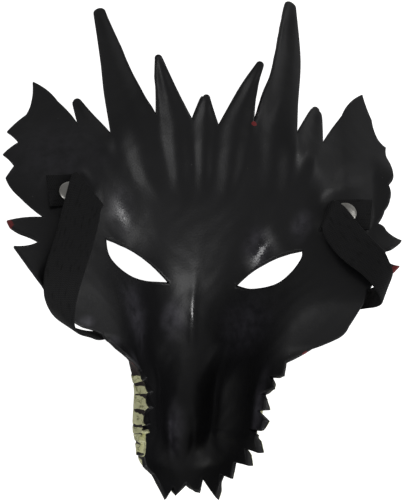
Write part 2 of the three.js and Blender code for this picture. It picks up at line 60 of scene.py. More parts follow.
# Sections across the ridge line lie side by side down to MUZZLE_FRONT, and past it they turn round the
# muzzle's end. The ridge line's height at the muzzle, and how far it rises to the forehead.
MUZZLE_FRONT = -100.0
RIDGE_LOW = 5.0
RIDGE_RISE = 48.0

# A section, at the muzzle, further up and round the muzzle's end, in millimetres and degrees: half the
# floor's width and the floor's roundness, the wall's angle, where the flap starts, and its angle. The
# flap is the lip beside the muzzle, and the cheek and the fin further up.
FLOOR_HALF = {"muzzle": 27.8, "brow": 6.0, "front": 24.0}
FLOOR_ROUND = {"muzzle": 7.0, "nose": 3.0, "brow": 9.0}
WALL_ANGLE = {"muzzle": 86.0, "brow": 10.0, "front": 45.0}
WALL_ROUND = 12.0
FLAP_START = {"muzzle": 80.0, "cheek": 88.0, "brow": 82.0}
FLAP_ANGLE = {"cheek": 22.0, "fin": -25.0, "front": 60.0}
LIP_ANGLE = {"left": 124.0, "right": 70.0}
FLAP_ROUND = 9.0

# The crown bends forward by so many degrees, at a line across the forehead that drops towards the
# sides and rises between the long horns. LONG_HORN_SIDE is how far aside their inner sides start.
CROWN_BEND = {"left": 32.0, "right": 30.0}
CROWN_LINE = 74.0
CROWN_LINE_DROP = 42.0
CROWN_LINE_RISE = 9.0
CROWN_ROUND = 8.0
LONG_HORN_SIDE = {"left": 31.0, "right": 26.5}

# What else shapes the inner face: the muzzle's taper and lean as shares, the rest in millimetres.
MUZZLE_TAPER = 0.09
MUZZLE_SKEW = 0.04
MUZZLE_SWELLING = 8.0
NOSE_SWELLING = 4.5
NOSE_SWAY = 2.8
FIN_CURL = 7.0
NOSE_CHANNEL = 0.5
SNOUT_RIM = 0.35
RIPPLE = 0.07

# The foam's thickness, in the middle and at the mask's edge, and how wide the thin edges are. At the
# eye holes a share of the thickness and of the relief is left, and at the edge one of finer detail.
FOAM = 3.6
FOAM_EDGE = 1.9
EDGE_WIDTH = 6.0
EYE_EDGE_WIDTH = 5.0
EYE_EDGE_FOAM = 0.75
EYE_EDGE_RELIEF = 0.4
EDGE_DETAIL = 0.5

# The rivets' places on the pattern. Round each the face is flat, and blends into the folded pattern.
RIVET_PLACES = {"left": (-81.0, 27.0), "right": (84.0, 25.0)}
PAD_FLAT = 11.0
PAD_BLEND = 20.0
PAD_FOAM = 2.6
SHANK_HOLE = 2.2

# The rings of the shell's rim, as shares of the way from the inner edge to the outer one, and how far
# the rim bulges half way. AS_INSIDE is for values that the whole rim has from the inner face.
RIM_STEPS = (0.15, 0.5, 0.85)
RIM_BULGE = 0.45
AS_INSIDE = (0.0, 0.0, 0.0)

# How far the grid's points stay from the rings, as a share of their spacing.
GRID_CLEARANCE = 0.55

# Relief of the outer face, in millimetres. RIDGE_HALF is half the snout ridge's width at the muzzle and
# up the nose. The rings are waves along a horn, counted in radians, and SCALE_HALF is half a scale's
# width as a share of the distance between scales.
SNOUT_RIDGE = {"open": 2.6, "under_strap": 0.8}
RIDGE_HALF = (11.0, 7.0)
NOSTRIL = {"aside": 13.0, "v": -121.0, "radius": 10.0, "height": 4.5}
LIP_BEAD = {"level": 0.93, "half": 7.0, "height": 2.0}
HORN_HEIGHT = 3.0
HORN_RINGS = {"depth": 0.35, "radians": 34.0, "sharpness": 3}
SCALE_HALF = 0.62
TOOTH_HEIGHT = 0.8

# The horns, left to right: where each starts, points up its left side, its tip and radius, and down.
HORNS = (
    {"left": (-74.5, 72.5), "up": ((-77.5, 91),), "tip": (-76, 95), "round": 2.0,
     "down": ((-66.5, 80.5),)},
    {"left": (-57, 64), "up": ((-60, 93), (-61.5, 121)), "tip": (-62, 163), "round": 3.0,
     "down": ((-48, 116), (-40.5, 94))},
    {"left": (-31, 75), "up": ((-32.5, 95),), "tip": (-31.5, 110), "round": 2.0, "down": ((-19, 90.5),)},
    {"left": (-9.5, 74.5), "up": ((-5, 87),), "tip": (-1.5, 89.5), "round": 1.8, "down": ((3.5, 78.5),)},
    {"left": (6, 72), "up": ((17.5, 95),), "tip": (29, 110.5), "round": 2.0, "down": ((27.5, 95.5),)},
    {"left": (26.5, 75), "up": ((35, 101.5), (40.5, 121)), "tip": (56, 174), "round": 3.6,
     "down": ((59, 129.5), (54.5, 93.5))},
    {"left": (52.5, 72), "up": ((62.5, 91.5),), "tip": (68, 97.5), "round": 2.0, "down": ((71, 91),)},
)

# Their hollows on the inner face: where each starts, how softly it turns at the horn's root, and its
# half width along the way, as a share of the horn's.
HORN_FEET = ((-52, 36), (-28, 24), (-12, 24), (-1, 26), (12, 24), (39, 28), (53, 36))
HORN_TURN = 4.0
HORN_SHARES = {"foot": 0.7, "root": 1.0, "tip": 0.2, "least": 0.15}

# Each horn ends where the next one starts, and the last one at CROWN_END. The stretch before the first
# horn bows out by CROWN_START_BOW. Every bowed stretch has SIDE_STEPS parts.
CROWN_END = (70.0, 71.0)
HORN_ENDS = (*(horn["left"] for horn in HORNS[1:]), CROWN_END)
CROWN_START_BOW = 1.5
SIDE_STEPS = 12

# Red paint at the edge: middle and radius.
RED_SPOTS = ((-123, 7, 7), (26.5, 74.5, 3), (124, -8, 7), (-104, -54, 3.5), (101, -58, 3.5))

# Corners of the two sides. The third number is how far the stretch before the corner bows out.
RIGHT_SIDE = (
    (85.5, 96.5, 0.5), (101, 114.5, 2), (106, 95.5, -0.5), (108, 84, -0.5), (114.5, 76, -1),
    (114, 68, -0.5), (116, 54, 1), (112, 48, 0.5), (112.5, 38, 1), (109, 30, 0.5), (105.5, 21, 0.5),
    (111, 17, 1), (121.5, 11, -1), (112, 4, 1), (113.5, -1.5, 0), (124, -5.5, -1), (122.5, -10, 0),
    (115, -16, 0), (115, -20, 0.5), (118, -27.5, 0), (118.5, -42, 0.5), (116, -48.5, 1),
    (103.5, -54.5, 0.5), (90.5, -62.5, 0.5),
)
LEFT_SIDE = (
    (-91, -63), (-94.5, -59, 0), (-97.5, -56, -0.5), (-100, -53, 0), (-105, -51.5, 0), (-111.5, -50.5, 0),
    (-123, -42, 1), (-126, -30, 0.5), (-126, -14.5, 0.5), (-126, -7.5, 0), (-109.5, -3.5, -1),
    (-116, 0.5, -0.5), (-122, 5, 0.5), (-122.5, 8.5, 0), (-99.5, 11.5, 1), (-111.5, 24, 0.5),
    (-118.5, 36.5, 1), (-113, 45, 0), (-120, 53, -0.5), (-110.5, 62, 0.5), (-117.5, 70, -0.5),
    (-106, 82.5, 0.5), (-102.5, 93, -0.5), (-101.5, 108.5, -0.5), (-86.5, 93.5, 1.5),
)

# The lip is half of a squarish ellipse. The teeth are corners beside it: the angle along it, in
# degrees, and how far outside it.
LIP = {"across": 79.0, "depth": 67.0, "top": -67.0, "power": 2.4}
TEETH = (
    (1, 14.5), (1.5, 3), (5, 12), (8.5, 0), (9.5, 7), (13.5, 9), (16, 0), (17.5, 11.5), (22.5, 12),
    (27.5, -3.5), (29, 11.5), (42.5, 21.5), (46, 5.5), (55.5, 16), (61, 2.5), (67, 8), (69, 10.5),
    (73, 2), (75, 7), (79.5, 16.5), (82.5, -1), (85, 8), (86.5, 7.5), (89, 1), (92, 10.5), (93, 5),
    (96, 16), (99, 7.5), (104, 2.5), (112, 3.5), (118, 0.5), (124, 7.5), (130, 0), (136.5, 9.5),
    (141, 1), (146, 10), (151, 0.5), (156.5, 9), (160, 1), (165, 10), (168, 1.5), (171, 8), (173.5, 1),
    (176, 6), (178, 0.5),
)
EYES = (
    {"inner": (-17.5, -18), "outer": (-64, 2.5), "upper": 3.0,
     "lower": ((-66, -9), (-56, -16.5), (-37.5, -19))},
    {"inner": (27.5, -18), "outer": (63.5, 2.5), "upper": 3.6,
     "lower": ((65, -2.5), (62.5, -11), (55.5, -17.5), (39, -20))},
)

# Hollows of the brows on the inner face: middle, half width, half length, turn in degrees and depth.
BROWS = ((-48.5, 15, 13, 24, -20, 1.0), (38, 3, 12, 20, 30, 1.0), (53, 17, 12, 16, 0, 0.7))

# Where the inner skin is rubbed smooth, or rough where the strength is less than 0: middle, half width,
# half length, turn in degrees and strength.
RUBBED = (
    (-49, 17, 10, 18, 0, 1.1), (37, 3, 12, 21, 30, 2.0), (59, 16, 9, 13, 0, 1.1), (0, -35, 5, 22, 0, 1.2),
    (-3, -106, 8, 18, 0, 0.6), (-100, -40, 30, 25, 0, -0.7), (110, -48, 30, 28, 0, -0.7),
)
# Where a lighter grey is painted on the inner skin as painted highlight and glow, in the same way.
PAINTED_GLOWS = (
    (-51, 19, 13, 20, 0, 0.5), (37, 3, 13, 19, 30, 0.8), (59, 16, 9, 13, 0, 0.9),
    (-13, -37, 14, 16, 0, 0.9), (-5, -103, 10, 26, 0, 0.85), (-8.5, -103, 2.5, 12, 0, 1.0),
    (-56, -40, 22, 28, 0, 0.75), (44, -40, 36, 24, 0, 0.55), (78, -88, 9, 30, 0, 1.0),
    (-88, 52, 46, 38, 0, 0.25), (-80, -66, 10, 8, 0, 0.6), (-108, -47, 9, 4, 20, 1.0),
    (-92, -56, 7, 4, 20, 0.8),
)

# Ribs of the fins and ridges of the cheeks on the outer face: from, to, height and half width.
RIDGES = (
    ((14, -10), (38, 7), 4.5, 8.0), ((38, 7), (70, 15), 4.5, 8.0), ((78, 36), (101, 106), 2.0, 5.0),
    ((80, 34), (116, 66), 1.8, 5.0), ((80, 30), (118, 50), 1.6, 5.0), ((82, 24), (118, 33), 1.6, 5.0),
    ((80, 14), (124, 9), 2.2, 5.5), ((60, -24), (125, -9), 3.0, 7.0),
)

# The elastic's route, as pairs of points on its two edges. "on" gives u, v and the height over the inner
# face; "free" gives x, y and z.
STRAP_ROUTE = (
    ("on", (-94, 37, 1.8), (-94, 17, 1.8)), ("on", (-86, 38, 1.1), (-86, 18, 1.1)),
    ("on", (-78, 39, 1.3), (-67, 20.5, 2)), ("on", (-77.5, 39, 2.7), (-64.5, 20, 3.6)),
    ("on", (-78.5, 38.5, 4.4), (-65, 19.5, 5)), ("on", (-81, 34, 5.8), (-67.5, 16, 6.2)),
    ("on", (-85, 17, 6.2), (-70, 8.5, 5.8)), ("on", (-101, -3, 6), (-83, -8.5, 5)),
    ("on", (-120, -21, 5), (-98.5, -23.5, 4.4)), ("on", (-128, -30, 4.2), (-111, -36.5, 4)),
    ("free", (-91.5, -38, 84), (-74.5, -49, 82)), ("free", (-84, -45.5, 72), (-71.5, -54, 78)),
    ("free", (-70, -50.3, 59), (-64.5, -55.8, 77)), ("free", (-56, -49.3, 49), (-57.5, -56, 67)),
    ("free", (-43, -41, 39), (-45, -51, 50)),
    ("on", (-26, -25, -7), (-26, -44, -8)), ("on", (-12, -24, -6), (-12, -43, -6)),
    ("on", (0, -24, -6), (0, -43, -6)), ("on", (12, -24, -6), (12, -43, -6)),
    ("on", (26, -25, -7), (26, -44, -8)), ("free", (64, -22, 48), (62, -41, 52)),
    ("free", (84, -20, 55), (79, -33, 68)), ("free", (97, -17.5, 64), (89.5, -31, 78)),
    ("free", (101.5, -13.5, 72), (94.5, -30.5, 85)), ("free", (103.5, -14, 79), (97, -28.5, 89)),
    ("free", (104, -9.5, 84), (95, -24.5, 91.5)), ("on", (118, -6, 4.6), (116.5, -19.5, 5)),
    ("on", (113, 0, 5), (107.5, -14, 5)), ("on", (103.5, 7.5, 5.6), (97, -8.5, 5)),
    ("on", (90, 16, 6), (86.5, -2, 5.6)), ("on", (83, 26, 6), (76, 7.5, 6)),
    ("on", (77, 30.5, 5.6), (71.7, 14.5, 6.2)), ("on", (75, 30.5, 3.6), (71.5, 11.5, 4.4)),
    ("on", (76.5, 32.5, 1.5), (75, 13, 1.9)), ("on", (82, 34, 1), (82, 14.5, 1)),
    ("on", (92, 35, 1.05), (92, 15, 1.1)), ("on", (100, 35, 2), (100, 15, 2.2)),
)

# The elastic's mesh: steps from one station to the next, points across between its edges, and how
# square its profile is there.
STRAP_STEPS = 18
STRAP_ACROSS = 47
STRAP_SQUARENESS = 24

# The rivets: height of the cap's underside over the pad, radius of its curled edge, the gap between
# the foam's outer face and the back cap, that cap's thickness, its edge's radius and its bulge.
UNDER_CAP = 1.9
CAP_CURL = 0.35
BACK_GAP = 0.3
BACK_THICKNESS = 1.4
BACK_CURL = 0.5
BACK_BULGE = 0.05
RIVET_SIDES = 96

# Colours within the finishes.
PALE_SKIN = (0.012, 0.012, 0.0135, 1.0)
SKIN_DUST = (0.35, 0.35, 0.36, 1.0)
# Violet grey of the painted highlights and glows on the inner skin.
GLOW_GREY = (0.11, 0.105, 0.125, 1.0)
# Painted shade: the outer paint darkens to this in the low places between the relief.
RECESS_SHADE_COLOUR = (0.006, 0.005, 0.005, 1.0)
TOOTH_STAIN = (0.2, 0.2, 0.06, 1.0)
STITCH_GAP = (0.004, 0.004, 0.0045, 1.0)
YARN_FUZZ = (0.016, 0.016, 0.017, 1.0)
YARN_LINT = (0.25, 0.25, 0.25, 1.0)
YARN_SHADE = (0.002, 0.002, 0.002, 1.0)
TARNISH = (0.25, 0.23, 0.2, 1.0)
WHITE = (1.0, 1.0, 1.0, 1.0)

# The stage, in metres: what the lights and the camera aim at, what the frame's height covers there,
# the camera's sensor in millimetres, the floor's half side and its depth, and the sky's strength.
AIM = Vector((0.0, 0.0, 0.05))
FRAME_HEIGHT = 0.2857
SENSOR = 36.0
FLOOR_REACH = 3.0
FLOOR_DEPTH = 0.0003
SKY_LIGHT = 0.2

# The soft lights: direction from the mask, distance, size and share of the lights' power.
LIGHTS = {
    "right_light": ((0.77, 0.12, 0.62), 1.3, (0.2, 0.4), 0.5),
    "left_light": ((-0.74, 0.0, 0.67), 1.3, (0.2, 0.3), 0.28),
    "front_light": ((0.3, -0.82, 0.45), 1.4, (0.3, 0.2), 0.95),
    "back_light": ((0.62, 0.6, 0.5), 1.4, (0.3, 0.3), 0.15),
}


def mix(a, b, t):
    """The value t of the way from a to b."""
    return a + (b - a) * t


def ease(x, a, b):
    """Smooth step: 3t^2 - 2t^3, where t = (x - a) / (b - a) is held between 0 and 1."""
    t = np.clip((x - a) / (b - a), 0.0, 1.0)
    return t * t * (3.0 - 2.0 * t)


def ramp(x, width):
    """0 far below zero and x far above it, with a rounded corner: width * ln(1 + exp(x / width))."""
    return width * np.logaddexp(0.0, x / width)


def crest(distance, half):
    """A rounded ridge: cos^2 of the distance, 1 on the line and 0 at the half width."""
    return np.cos(0.5 * np.pi * np.minimum(np.abs(distance) / half, 1.0)) ** 2


def plateau(x, a, b, c, d):
    """A smooth step up from a to b, and a smooth step down again from c to d."""
    return ease(x, a, b) * (1 - ease(x, c, d))


def unit(vectors):
    """The vectors, one a row, divided by their lengths."""
    return vectors / np.maximum(np.linalg.norm(vectors, axis=-1, keepdims=True), 1e-12)


def by_side(u, values):
    """The right side's value where u is over 0, and the left side's elsewhere."""
    return np.where(u > 0, values["right"], values["left"])


def fold_pattern(u, v):
    """Folds the flat pattern into the inner face, in millimetres.

    The distance from the ridge line, taken round the muzzle's centre in front of it, runs along the
    floor of the section, then up its wall at the wall's angle, then out along the flap of the lip,
    cheek or fin. Each turn is a ramp, so radius and height are sums of ramps times cos and sin. Then
    the crown bends forward, the muzzle tapers and leans, and the right fin's margin curls up.
    """
    axis = np.maximum(v, MUZZLE_FRONT)
    ahead = np.minimum(v - MUZZLE_FRONT, 0.0)
    reach = np.maximum(np.hypot(u, ahead), 1e-6)
    front = -ahead / reach
    front = front * ease(front, 0, 0.3)
    ridge = RIDGE_LOW + RIDGE_RISE * ease(axis, -80, 65)
    wall = mix(WALL_ANGLE["muzzle"], WALL_ANGLE["brow"], ease(axis, -85, 50))
    wall = np.radians(mix(wall, WALL_ANGLE["front"], front * front))
    wall_start = mix(FLOOR_HALF["muzzle"], FLOOR_HALF["brow"], ease(axis, -80, 10))
    wall_start = mix(wall_start, FLOOR_HALF["front"], front)
    hollow = mix(FLOOR_ROUND["muzzle"], FLOOR_ROUND["nose"], ease(axis, -90, -60))
    hollow = mix(hollow, FLOOR_ROUND["brow"], ease(axis, -10, 40))
    flap_start = mix(FLAP_START["muzzle"], FLAP_START["cheek"], ease(axis, -30, 10))
    flap_start = mix(flap_start, FLAP_START["brow"], ease(axis, 10, 60))
    flap = mix(by_side(u, LIP_ANGLE), FLAP_ANGLE["cheek"], ease(axis, -85, -52))
    flap = mix(flap, FLAP_ANGLE["fin"], ease(axis, -30, 25))
    flap = np.radians(mix(flap, FLAP_ANGLE["front"], front))
    rise = ramp(np.hypot(reach, hollow) - wall_start, WALL_ROUND) - ramp(hollow - wall_start, WALL_ROUND)
    past = ramp(reach - flap_start, FLAP_ROUND) - ramp(-flap_start, FLAP_ROUND)
    radius = reach + (np.cos(wall) - 1) * rise + (np.cos(flap) - np.cos(wall)) * past
    z = ridge + np.sin(wall) * rise + (np.sin(flap) - np.sin(wall)) * past
    x = u / reach * radius
    y = axis + ahead / reach * radius
    width = np.abs(u)
    from_horn = width - (by_side(u, LONG_HORN_SIDE) + 0.22 * np.clip(v - 75, 0, 55))
    bend_line = (CROWN_LINE - CROWN_LINE_DROP * ease(width, 38, 84)
                 + CROWN_LINE_RISE * (1 - ease(from_horn, 0, 14)))
    bend = np.radians(by_side(u, CROWN_BEND))
    beyond = ramp(v - bend_line, CROWN_ROUND) * ease(from_horn, -3, 3)
    y = y - (1 - np.cos(bend)) * beyond
    z = z - np.sin(bend) * beyond
    x = x * (1 - MUZZLE_TAPER * ease(-v, 80, 125))
    x = x + MUZZLE_SKEW * (1 - ease(v, -80, -30)) * (z - 10)
    z = z + FIN_CURL * ease(u, 100, 118) * plateau(v, -16, 4, 50, 75)
    return np.stack([x, y, z], axis=-1)


def surface_normal(surface, u, v, step=0.5):
    """The upward normal: the cross product of two small steps on the surface, along u and along v."""
    along = surface(u + step, v) - surface(u - step, v)
    across = surface(u, v + step) - surface(u, v - step)
    return unit(np.cross(along, across))


def rivet_pad(place):
    """A rivet's flat pad: its centre, normal, and the directions of u and v on it."""
    u, v = (np.array(value, float) for value in place)
    centre = fold_pattern(u, v)
    normal = surface_normal(fold_pattern, u, v)
    right = unit(fold_pattern(u + 1, v) - fold_pattern(u - 1, v))
    return {"u": float(u), "v": float(v), "centre": centre, "normal": normal,
            "right": right, "up": np.cross(normal, right)}


PADS = {side: rivet_pad(place) for side, place in RIVET_PLACES.items()}


def inner_face(u, v):
    """The folded pattern, flat under each rivet: near a pad it blends into the pad's plane."""
    point = fold_pattern(u, v)
    for pad in PADS.values():
        away = np.hypot(u - pad["u"], v - pad["v"])
        du = np.asarray(u - pad["u"])[..., None]
        dv = np.asarray(v - pad["v"])[..., None]
        flat = pad["centre"] + pad["right"] * du + pad["up"] * dv
        share = np.asarray(1 - ease(away, PAD_FLAT, PAD_BLEND))[..., None]
        point = point + (flat - point) * share
    return point


def horn_lines():
    """For each horn: its foot, root and tip on the pattern, and half its width at the root."""
    lines = []
    for horn, foot, end in zip(HORNS, HORN_FEET, HORN_ENDS):
        left, right = np.array(horn["left"], float), np.array(end, float)
        lines.append((foot, (left + right) / 2, horn["tip"], 0.5 * np.linalg.norm(right - left)))
    return lines


HORN_LINES = horn_lines()


def horn_places(u, v):
    """For each horn, where a point lies in its hollow.

    The horn's line is straight from the foot to the root and from there to the tip, with a ramp
    between. Yields how far along it the point lies (0 foot, 1 tip), how far aside, its height over the
    foot, the hollow's half width there, and the half width at the root.
    """
    for foot, root, tip, half in HORN_LINES:
        below = (root[0] - foot[0]) / (root[1] - foot[1])
        above = (tip[0] - root[0]) / (tip[1] - root[1])
        aside = u - foot[0] - below * (v - foot[1]) - (above - below) * ramp(v - root[1], HORN_TURN)
        along = (v - foot[1]) / (tip[1] - foot[1])
        start = (root[1] - foot[1]) / (tip[1] - foot[1])
        widening = mix(HORN_SHARES["foot"], HORN_SHARES["root"], along / start)
        narrowing = mix(HORN_SHARES["root"], HORN_SHARES["tip"], (along - start) / (1 - start))
        share = np.clip(np.where(along < start, widening, narrowing), HORN_SHARES["least"], 1)
        yield along, aside, v - foot[1], half * share, half


def horn_relief(u, v):
    """The sum of one crest along each horn's line, fading in up the forehead and out at the tip."""
    total = np.zeros_like(u)
    for along, aside, distance, reach, half in horn_places(u, v):
        fade_out = 1 - ease(along, 0.85, 1.02)
        total += min(half / 10, 1.1) * crest(aside, reach) * ease(distance, 0, 22) * fade_out
    return total


def stretch_distance(u, v, a, b):
    """Distance from each point to the straight stretch from a to b."""
    du, dv = b[0] - a[0], b[1] - a[1]
    t = np.clip(((u - a[0]) * du + (v - a[1]) * dv) / max(du * du + dv * dv, 1e-12), 0, 1)
    return np.hypot(u - a[0] - t * du, v - a[1] - t * dv)


def oval_spots(u, v, spots):
    """The sum of a few turned ovals, each its strength in the middle and 0 at its edge."""
    total = np.zeros_like(u)
    for middle_u, middle_v, wide, long, turn, strength in spots:
        c, s = np.cos(np.radians(turn)), np.sin(np.radians(turn))
        across = ((u - middle_u) * c + (v - middle_v) * s) / wide
        along = ((v - middle_v) * c - (u - middle_u) * s) / long
        total += strength * crest(np.hypot(across, along), 1.0)
    return total


def inner_hollow(u, v, groove):
    """How deep the inner face is hollowed, in millimetres: less than nothing where it swells inwards.

    It is hollowed behind the horns, and by a turned oval bowl behind each brow. Along both sides of the
    muzzle's floor the face swells inwards, by a smooth step up and a smooth step down again, and along
    the nose by a crest.
    """
    reach = np.hypot(u, np.minimum(v - MUZZLE_FRONT, 0))
    swelling = plateau(reach, 3, 28, 36, 62) * plateau(v, -128, -104, -78, -48)
    hollow = groove * horn_relief(u, v) - MUZZLE_SWELLING * swelling
    hollow -= NOSE_SWELLING * crest(u, 30) * plateau(v, -42, -8, -4, 80)
    return hollow + oval_spots(u, v, BROWS)


def lip_level(u, v):
    """1 on the lip and less inside it: the squarish ellipse's norm of (u / across, v / depth)."""
    across = (np.abs(u) / LIP["across"]) ** LIP["power"]
    down = (np.maximum(LIP["top"] - v, 0) / LIP["depth"]) ** LIP["power"]
    return (across + down) ** (1 / LIP["power"])


def lip_distance(u, v, level=1.0):
    """How far outside the lip, or a level within it, a place lies: by the norm, in millimetres."""
    return (lip_level(u, v) - level) * LIP["across"]


def outer_relief(u, v):
    """What stands proud outside: the highest of the ribs, snout ridge, nostrils, lip's bead and horns."""
    width = np.abs(u)
    relief = np.zeros_like(u)
    for start, end, height, half in RIDGES:
        relief = np.maximum(relief, height * crest(stretch_distance(width, v, start, end), half))
    ridge = mix(SNOUT_RIDGE["open"], SNOUT_RIDGE["under_strap"], plateau(v, -58, -48, -18, -8))
    ridge = ridge * crest(u, mix(*RIDGE_HALF, ease(v, -95, -60))) * plateau(v, -122, -108, 0, 22)
    relief = np.maximum(relief, ridge)
    from_nostril = np.hypot(width - NOSTRIL["aside"], v - NOSTRIL["v"])
    relief = np.maximum(relief, NOSTRIL["height"] * crest(from_nostril, NOSTRIL["radius"]))
    bead = LIP_BEAD["height"] * crest(lip_distance(u, v, LIP_BEAD["level"]), LIP_BEAD["half"])
    relief = np.maximum(relief, bead * (1 - ease(v, -70, -60)))
    return np.maximum(relief, HORN_HEIGHT * horn_relief(u, v))


def spline(points, count, ghost):
    """Catmull-Rom curve through the points, at count + 1 even steps.

    Each span is a cubic whose slope at a point is half the way between its neighbours. Past the ends
    stands the end point itself, or its neighbour's mirror image where ghost is true.
    """
    p = np.array(points, float)
    first = 2 * p[0] - p[1] if ghost else p[0]
    last = 2 * p[-1] - p[-2] if ghost else p[-1]
    q = np.vstack([first[None], p, last[None]])
    place = np.linspace(0, len(p) - 1, count + 1)
    span = np.minimum(place.astype(int), len(p) - 2)
    t = (place - span)[:, None]
    a, b, c, d = q[span], q[span + 1], q[span + 2], q[span + 3]
    slope_in, slope_out = (c - a) / 2, (d - b) / 2
    return ((2 * b - 2 * c + slope_in + slope_out) * t ** 3
            + (3 * c - 3 * b - 2 * slope_in - slope_out) * t ** 2 + slope_in * t + b)


def bowed(a, b, bow, steps):
    """Points from a up to b, without b, bowed out to the left by 4t(1 - t) times the bow."""
    a, b = np.array(a[:2], float), np.array(b[:2], float)
    t = np.linspace(0, 1, steps, endpoint=False)[:, None]
    side = np.array([a[1] - b[1], b[0] - a[0]]) / np.linalg.norm(b - a)
    return a + (b - a) * t + side * (4 * t * (1 - t) * bow)


def horn_outline(horn, following):
    """One horn: a spline up its left side, a half circle round the tip, a spline down its right side."""
    left, tip, end = (np.array(p, float) for p in (horn["left"], horn["tip"], following))
    direction = tip - (left + end) / 2
    direction = direction / np.linalg.norm(direction)
    across = np.array([-direction[1], direction[0]])
    centre = tip - direction * horn["round"]
    angles = np.radians(np.linspace(90, -90, 9))[:, None]
    cap = centre + horn["round"] * (direction * np.cos(angles) + across * np.sin(angles))
    up = spline([left, *horn["up"], cap[0]], 24, False)
    down = spline([cap[-1], *horn["down"], end], 24, False)
    return np.vstack([up[:-1], cap[:-1], down[:-1]])


def lip_point(degrees, out):
    """The point at an angle along the lip, a distance outside it."""
    across, down = np.cos(np.radians(degrees)), np.abs(np.sin(np.radians(degrees)))
    power = 2 / LIP["power"]
    u = np.sign(across) * np.abs(across) ** power * (LIP["across"] + out)
    return np.array([u, LIP["top"] - down ** power * (LIP["depth"] + out)])


def bowed_side(start, corners):
    """Bowed stretches from a start through some corners, without the last one."""
    return [bowed(a, b, b[2], SIDE_STEPS) for a, b in zip((start, *corners), corners)]


def mask_outline():
    """The whole outline, laid flat, clockwise from the notch beside the left fin."""
    lip = [RIGHT_SIDE[-1][:2], *(lip_point(angle, out) for angle, out in TEETH)]
    return np.vstack([
        *(horn_outline(horn, end) for horn, end in zip(HORNS, HORN_ENDS)),
        *bowed_side(CROWN_END, RIGHT_SIDE),
        np.array(lip, float),
        *bowed_side(LEFT_SIDE[0], LEFT_SIDE[1:]),
        bowed(LEFT_SIDE[-1], HORNS[0]["left"], CROWN_START_BOW, SIDE_STEPS),
    ])


def eye_outline(eye):
    """An eye hole: a bowed upper side, and a spline along the lower one."""
    upper = bowed(eye["inner"], eye["outer"], np.sign(eye["outer"][0]) * eye["upper"], 16)
    lower = spline([eye["outer"], *eye["lower"], eye["inner"]], 32, False)
    return np.vstack([upper, lower[:-1]])


def circle(centre, radius, sides):
    """Points of a circle."""
    angle = np.linspace(0, 2 * np.pi, sides, endpoint=False)
    return np.stack([centre[0] + radius * np.cos(angle), centre[1] + radius * np.sin(angle)], axis=-1)


def turned(ring, anticlockwise):
    """The ring in the wanted sense of turning, by the sign of its area."""
    u, v = ring.T
    area = np.sum(u * np.roll(v, -1) - np.roll(u, -1) * v)
    return ring if (area > 0) == anticlockwise else ring[::-1]


def densify(ring, spacing):
    """The ring with every side cut into equal parts no longer than the spacing."""
    ahead = np.roll(ring, -1, axis=0)
    count = np.maximum(np.ceil(np.linalg.norm(ahead - ring, axis=1) / spacing).astype(int), 1)
    side = np.repeat(np.arange(len(ring)), count)
    step = np.arange(count.sum()) - np.repeat(np.cumsum(count) - count, count)
    t = (step / count[side])[:, None]
    return ring[side] + (ahead[side] - ring[side]) * t


def ring_distance(u, v, ring):
    """Distance from each point to the nearest side of the ring."""
    best = np.full(u.shape, np.inf)
    for a, b in zip(ring, np.roll(ring, -1, axis=0)):
        best = np.minimum(best, stretch_distance(u, v, a, b))
    return best


def inside_ring(u, v, ring):
    """True where a ray to the right crosses the ring an odd number of times."""
    inside = np.zeros(u.shape, bool)
    for a, b in zip(ring, np.roll(ring, -1, axis=0)):
        if a[1] != b[1]:
            crossing = a[0] + (v - a[1]) / (b[1] - a[1]) * (b[0] - a[0])
            inside ^= ((v > a[1]) != (v > b[1])) & (u < crossing)
    return inside


def inside_mask(u, v, rings):
    """True inside the first ring, the outline, and outside the other ones, the holes."""
    inside = inside_ring(u, v, rings[0])
    for ring in rings[1:]:
        inside &= ~inside_ring(u, v, ring)
    return inside


OUTLINE = turned(mask_outline(), True)
EYE_RINGS = [turned(eye_outline(eye), False) for eye in EYES]
SHANK_RINGS = [turned(circle(place, SHANK_HOLE, 24), False) for place in RIVET_PLACES.values()]
RINGS = [OUTLINE, *EYE_RINGS, *SHANK_RINGS]


def flat_mesh(spacing):
    """Triangles that fill the outline and leave its holes open.

    The points are a grid whose odd rows stand half a step aside, kept clear of every ring, after the
    points of the rings. Returns the points, the triangles, and each ring's sides as point pairs.
    """
    rings = [densify(ring, spacing) for ring in RINGS]
    low, high = OUTLINE.min(axis=0), OUTLINE.max(axis=0)
    rows = np.arange(low[1], high[1], spacing * np.sqrt(3) / 2)
    columns = np.arange(low[0], high[0], spacing)
    u, v = np.meshgrid(columns, rows)
    u = (u + spacing / 2 * (np.arange(len(rows)) % 2)[:, None]).ravel()
    v = v.ravel()
    keep = inside_mask(u, v, RINGS)
    for ring in RINGS:
        keep &= ring_distance(u, v, ring) > GRID_CLEARANCE * spacing
    points = np.vstack([*rings, np.stack([u[keep], v[keep]], axis=-1)])
    starts = np.cumsum([0] + [len(ring) for ring in rings])
    sides = []
    for start, ring in zip(starts, rings):
        index = start + np.arange(len(ring))
        sides.append(np.stack([index, np.roll(index, -1)], axis=-1))
    sides = np.vstack(sides)
    found = delaunay_2d_cdt([Vector(p) for p in points], sides.tolist(), [], 0, 1e-6, False)
    if len(found[0]) != len(points):
        raise RuntimeError("the outline crosses itself or has double points")
    triangles = np.array(found[2])
    middle = points[triangles].mean(axis=1)
    return points, triangles[inside_mask(*middle.T, rings)], sides


COLOUR = {"subtype": "COLOR", "size": 4, "min": 0.0, "max": 1.0}


